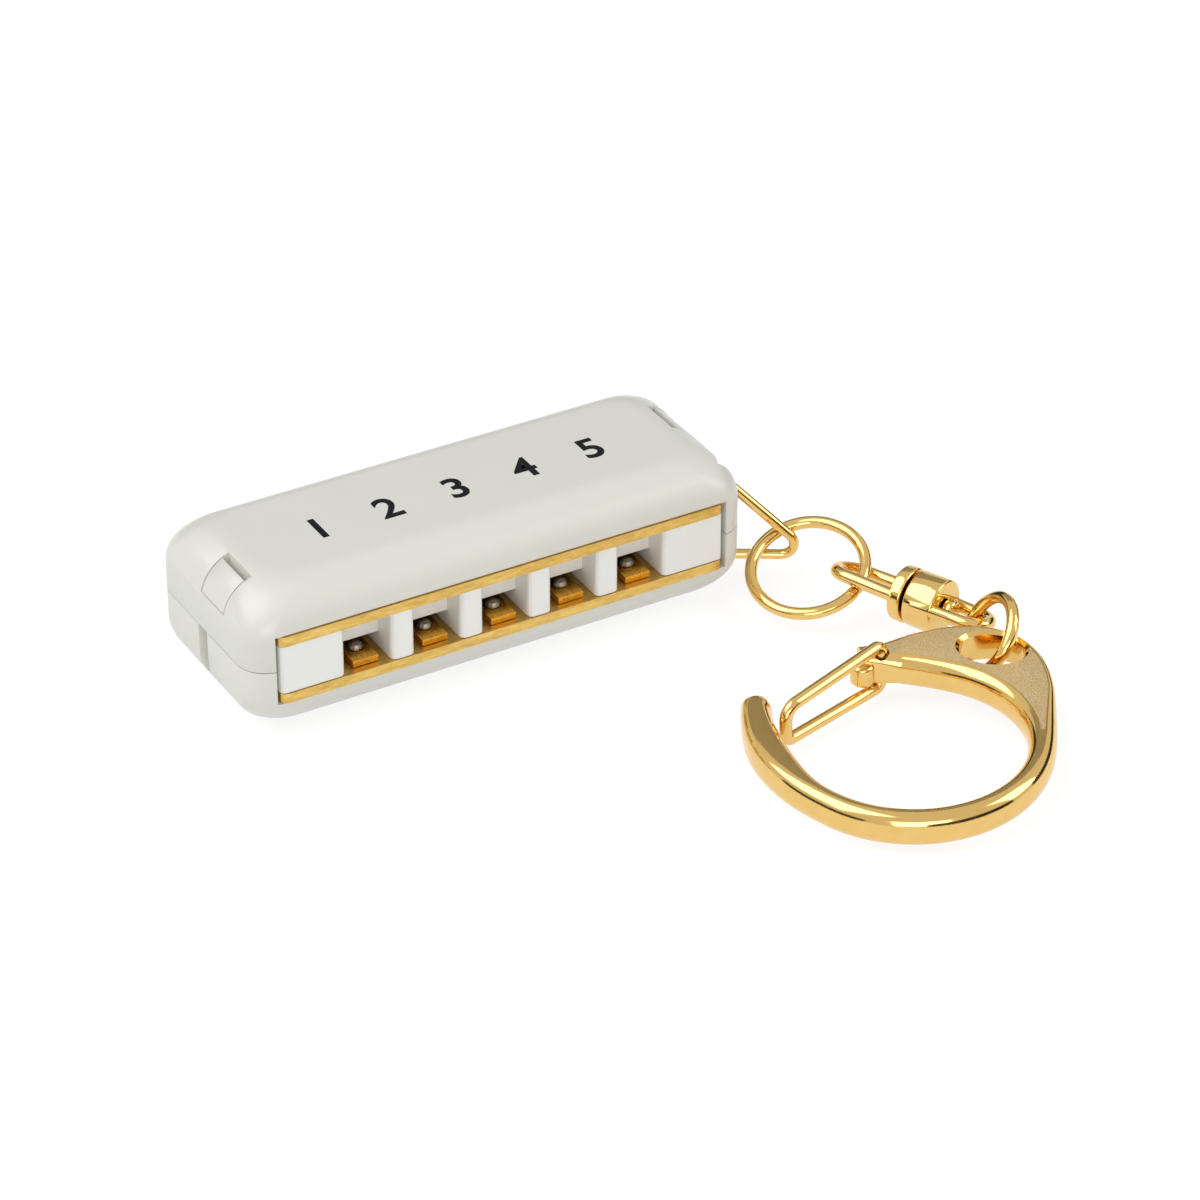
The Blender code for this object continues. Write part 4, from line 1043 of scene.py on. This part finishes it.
# %% Cut the clasp
EYE_CENTRE, EYE_LONG, EYE_SHORT = (0.0225, 0.0131), 0.00285, 0.0022
EYE_TURN = math.radians(-43.0)
KNOB_X, KNOB_Y, KNOB_FOOT, KNOB_TOP = 0.01245, 0.0177, 0.0004, 0.0024
GATE_X, GATE_Y, GATE_WIRE, GATE_CLEAR = 0.0141, 0.0174, 0.0011, 0.00025
BORE_CLEAR = 0.00018


def eye_mesh(chamfer=0.0003):
    """Stacked ovals: the half axes grow by the chamfer near both faces."""
    over = 2 * chamfer
    z = np.array([-over, chamfer, CLASP_THICK - chamfer, CLASP_THICK + over])
    grow = np.array([chamfer + over, 0.0, 0.0, chamfer + over])
    v = np.linspace(0, 2 * np.pi, 96, endpoint=False)
    x = (EYE_LONG + grow)[:, None] * np.cos(v)
    y = (EYE_SHORT + grow)[:, None] * np.sin(v)
    c, s = math.cos(EYE_TURN), math.sin(EYE_TURN)
    rows = np.stack([EYE_CENTRE[0] + c * x - s * y, EYE_CENTRE[1] + s * x + c * y,
                     np.broadcast_to(z[:, None], x.shape)], axis=-1)
    return grid_mesh("eye", rows)


def knob_mesh(radius=0.00105, edge=0.0004, sides=64):
    """A short upright drum with quarter-round edges."""
    t = np.linspace(0, np.pi / 2, 7)
    r = np.concatenate([radius - edge + edge * np.sin(t), radius - edge + edge * np.cos(t)])
    z = np.concatenate([KNOB_FOOT + edge - edge * np.cos(t), KNOB_TOP - edge + edge * np.sin(t)])
    v = np.linspace(0, 2 * np.pi, sides, endpoint=False)
    rows = np.stack([KNOB_X + r[:, None] * np.cos(v), KNOB_Y + r[:, None] * np.sin(v),
                     np.broadcast_to(z[:, None], (len(r), sides))], axis=-1)
    return grid_mesh("knob", rows)


far = 4 * CLASP_THICK
clasp_mesh = combined(clasp_blank(), [
    ("UNION", knob_mesh()),
    ("DIFFERENCE", eye_mesh()),
    ("DIFFERENCE", block((KNOB_X - far / 4, GATE_Y - far / 3, -far),
                         (GATE_X + GATE_WIRE + GATE_CLEAR, GATE_Y + far / 3, KNOB_FOOT))),
    ("DIFFERENCE", round_bar(GATE_WIRE / 2 + BORE_CLEAR, -far, far, (GATE_X, GATE_Y)))])
print("clasp mesh:", len(clasp_mesh.vertices), "vertices")

# %% [markdown]
# ### Grained face
# The plate's flat faces are sand-textured between polished rims. A painted mask
# would need an unwrapped surface, while the border is simply where the flat face
# ends. So the faces that take the grain are picked by array tests: flat, on one
# of the two sides, and where the plate makes the section wide enough.

# %% Grained clasp
GRAIN_WIDTH, GRAIN_FROM, FACE_SLACK = 0.0025, 250.0, 0.00002


def grained_gold():
    """Gold over a sand-textured face: darker in the pits, bright on the grains."""
    f = Finish("grained_gold", (0.76, 0.56, 0.28), 0.34, 1.0)
    grain = f.noise(6500.0, 4.0, 0.7)
    f.colour(f.blend(f.window(grain, 0.35, 0.65), (0.60, 0.43, 0.19), (0.84, 0.64, 0.35)))
    f.roughness(f.spread(f.noise(3000.0, 2.0), 0.26, 0.38))
    f.bump(grain, 0.00010)
    return f.mat


def grain_faces(mesh):
    """Index 1 for faces whose normal is upright and whose middle lies where the
    section is wide enough, past the hook."""
    count = len(mesh.polygons)
    middles = np.empty(count * 3)
    normals = np.empty(count * 3)
    mesh.polygons.foreach_get("center", middles)
    mesh.polygons.foreach_get("normal", normals)
    middles, normals = middles.reshape(-1, 3), normals.reshape(-1, 3)
    offset = middles[:, :2] - CLASP_CENTRE
    angle = np.degrees(np.arctan2(offset[:, 1], offset[:, 0])) % 360
    angle = np.where(angle < 110, angle + 360, angle)
    inner, outer = clasp_radii(angle)
    level_face = np.abs(normals[:, 2]) > 0.999
    on_face = np.abs(middles[:, 2] - CLASP_THICK / 2) > CLASP_THICK / 2 - FACE_SLACK
    plate = (outer - inner > GRAIN_WIDTH) & (angle > GRAIN_FROM)
    index = (level_face & on_face & plate).astype(np.int32)
    mesh.polygons.foreach_set("material_index", index)
    return int(index.sum())


grain = grained_gold()
clasp = piece("clasp", clasp_mesh, gold, grain, sharp=30.0)
print("grained faces:", grain_faces(clasp.data))
clasp.data.transform(clasp_frame())
stand_for(clasp, "clasp_body", "clasp")

# %% [markdown]
# ### Gate
# The gate is one spring wire bent to a long narrow loop. Its two turned-in ends
# are the pins, one above and one below the clasp, and the loop's end stops
# beside the nose. It is laid out flat like the clasp, then tilted with it.

# %% The gate
GATE_END_X, GATE_END_Y, GATE_END_RISE, GATE_PIN = 0.00278, 0.01436, 0.0005, 0.0011
GATE_BEND, GATE_TIP_BEND = 0.0007, 0.0013
gate_high = CLASP_THICK + GATE_CLEAR + GATE_WIRE / 2
gate_low = KNOB_FOOT - GATE_CLEAR - GATE_WIRE / 2
gate_path = bent_path([(GATE_X, GATE_Y, gate_high - GATE_PIN), (GATE_X, GATE_Y, gate_high),
                       (GATE_END_X, GATE_END_Y, gate_high - GATE_END_RISE),
                       (GATE_END_X, GATE_END_Y, gate_low + GATE_END_RISE),
                       (GATE_X, GATE_Y, gate_low), (GATE_X, GATE_Y, gate_low + GATE_PIN)],
                      [GATE_BEND, GATE_TIP_BEND, GATE_BEND, GATE_BEND])
gate_side = np.cross(UP, (GATE_X - GATE_END_X, GATE_Y - GATE_END_Y, 0.0))
gate_mesh = wire_mesh("gate", gate_path, gate_side, GATE_WIRE)
gate_mesh.transform(clasp_frame())
gate = piece("gate", gate_mesh, gold)
stand_for(gate, "clasp_gate", "gate")
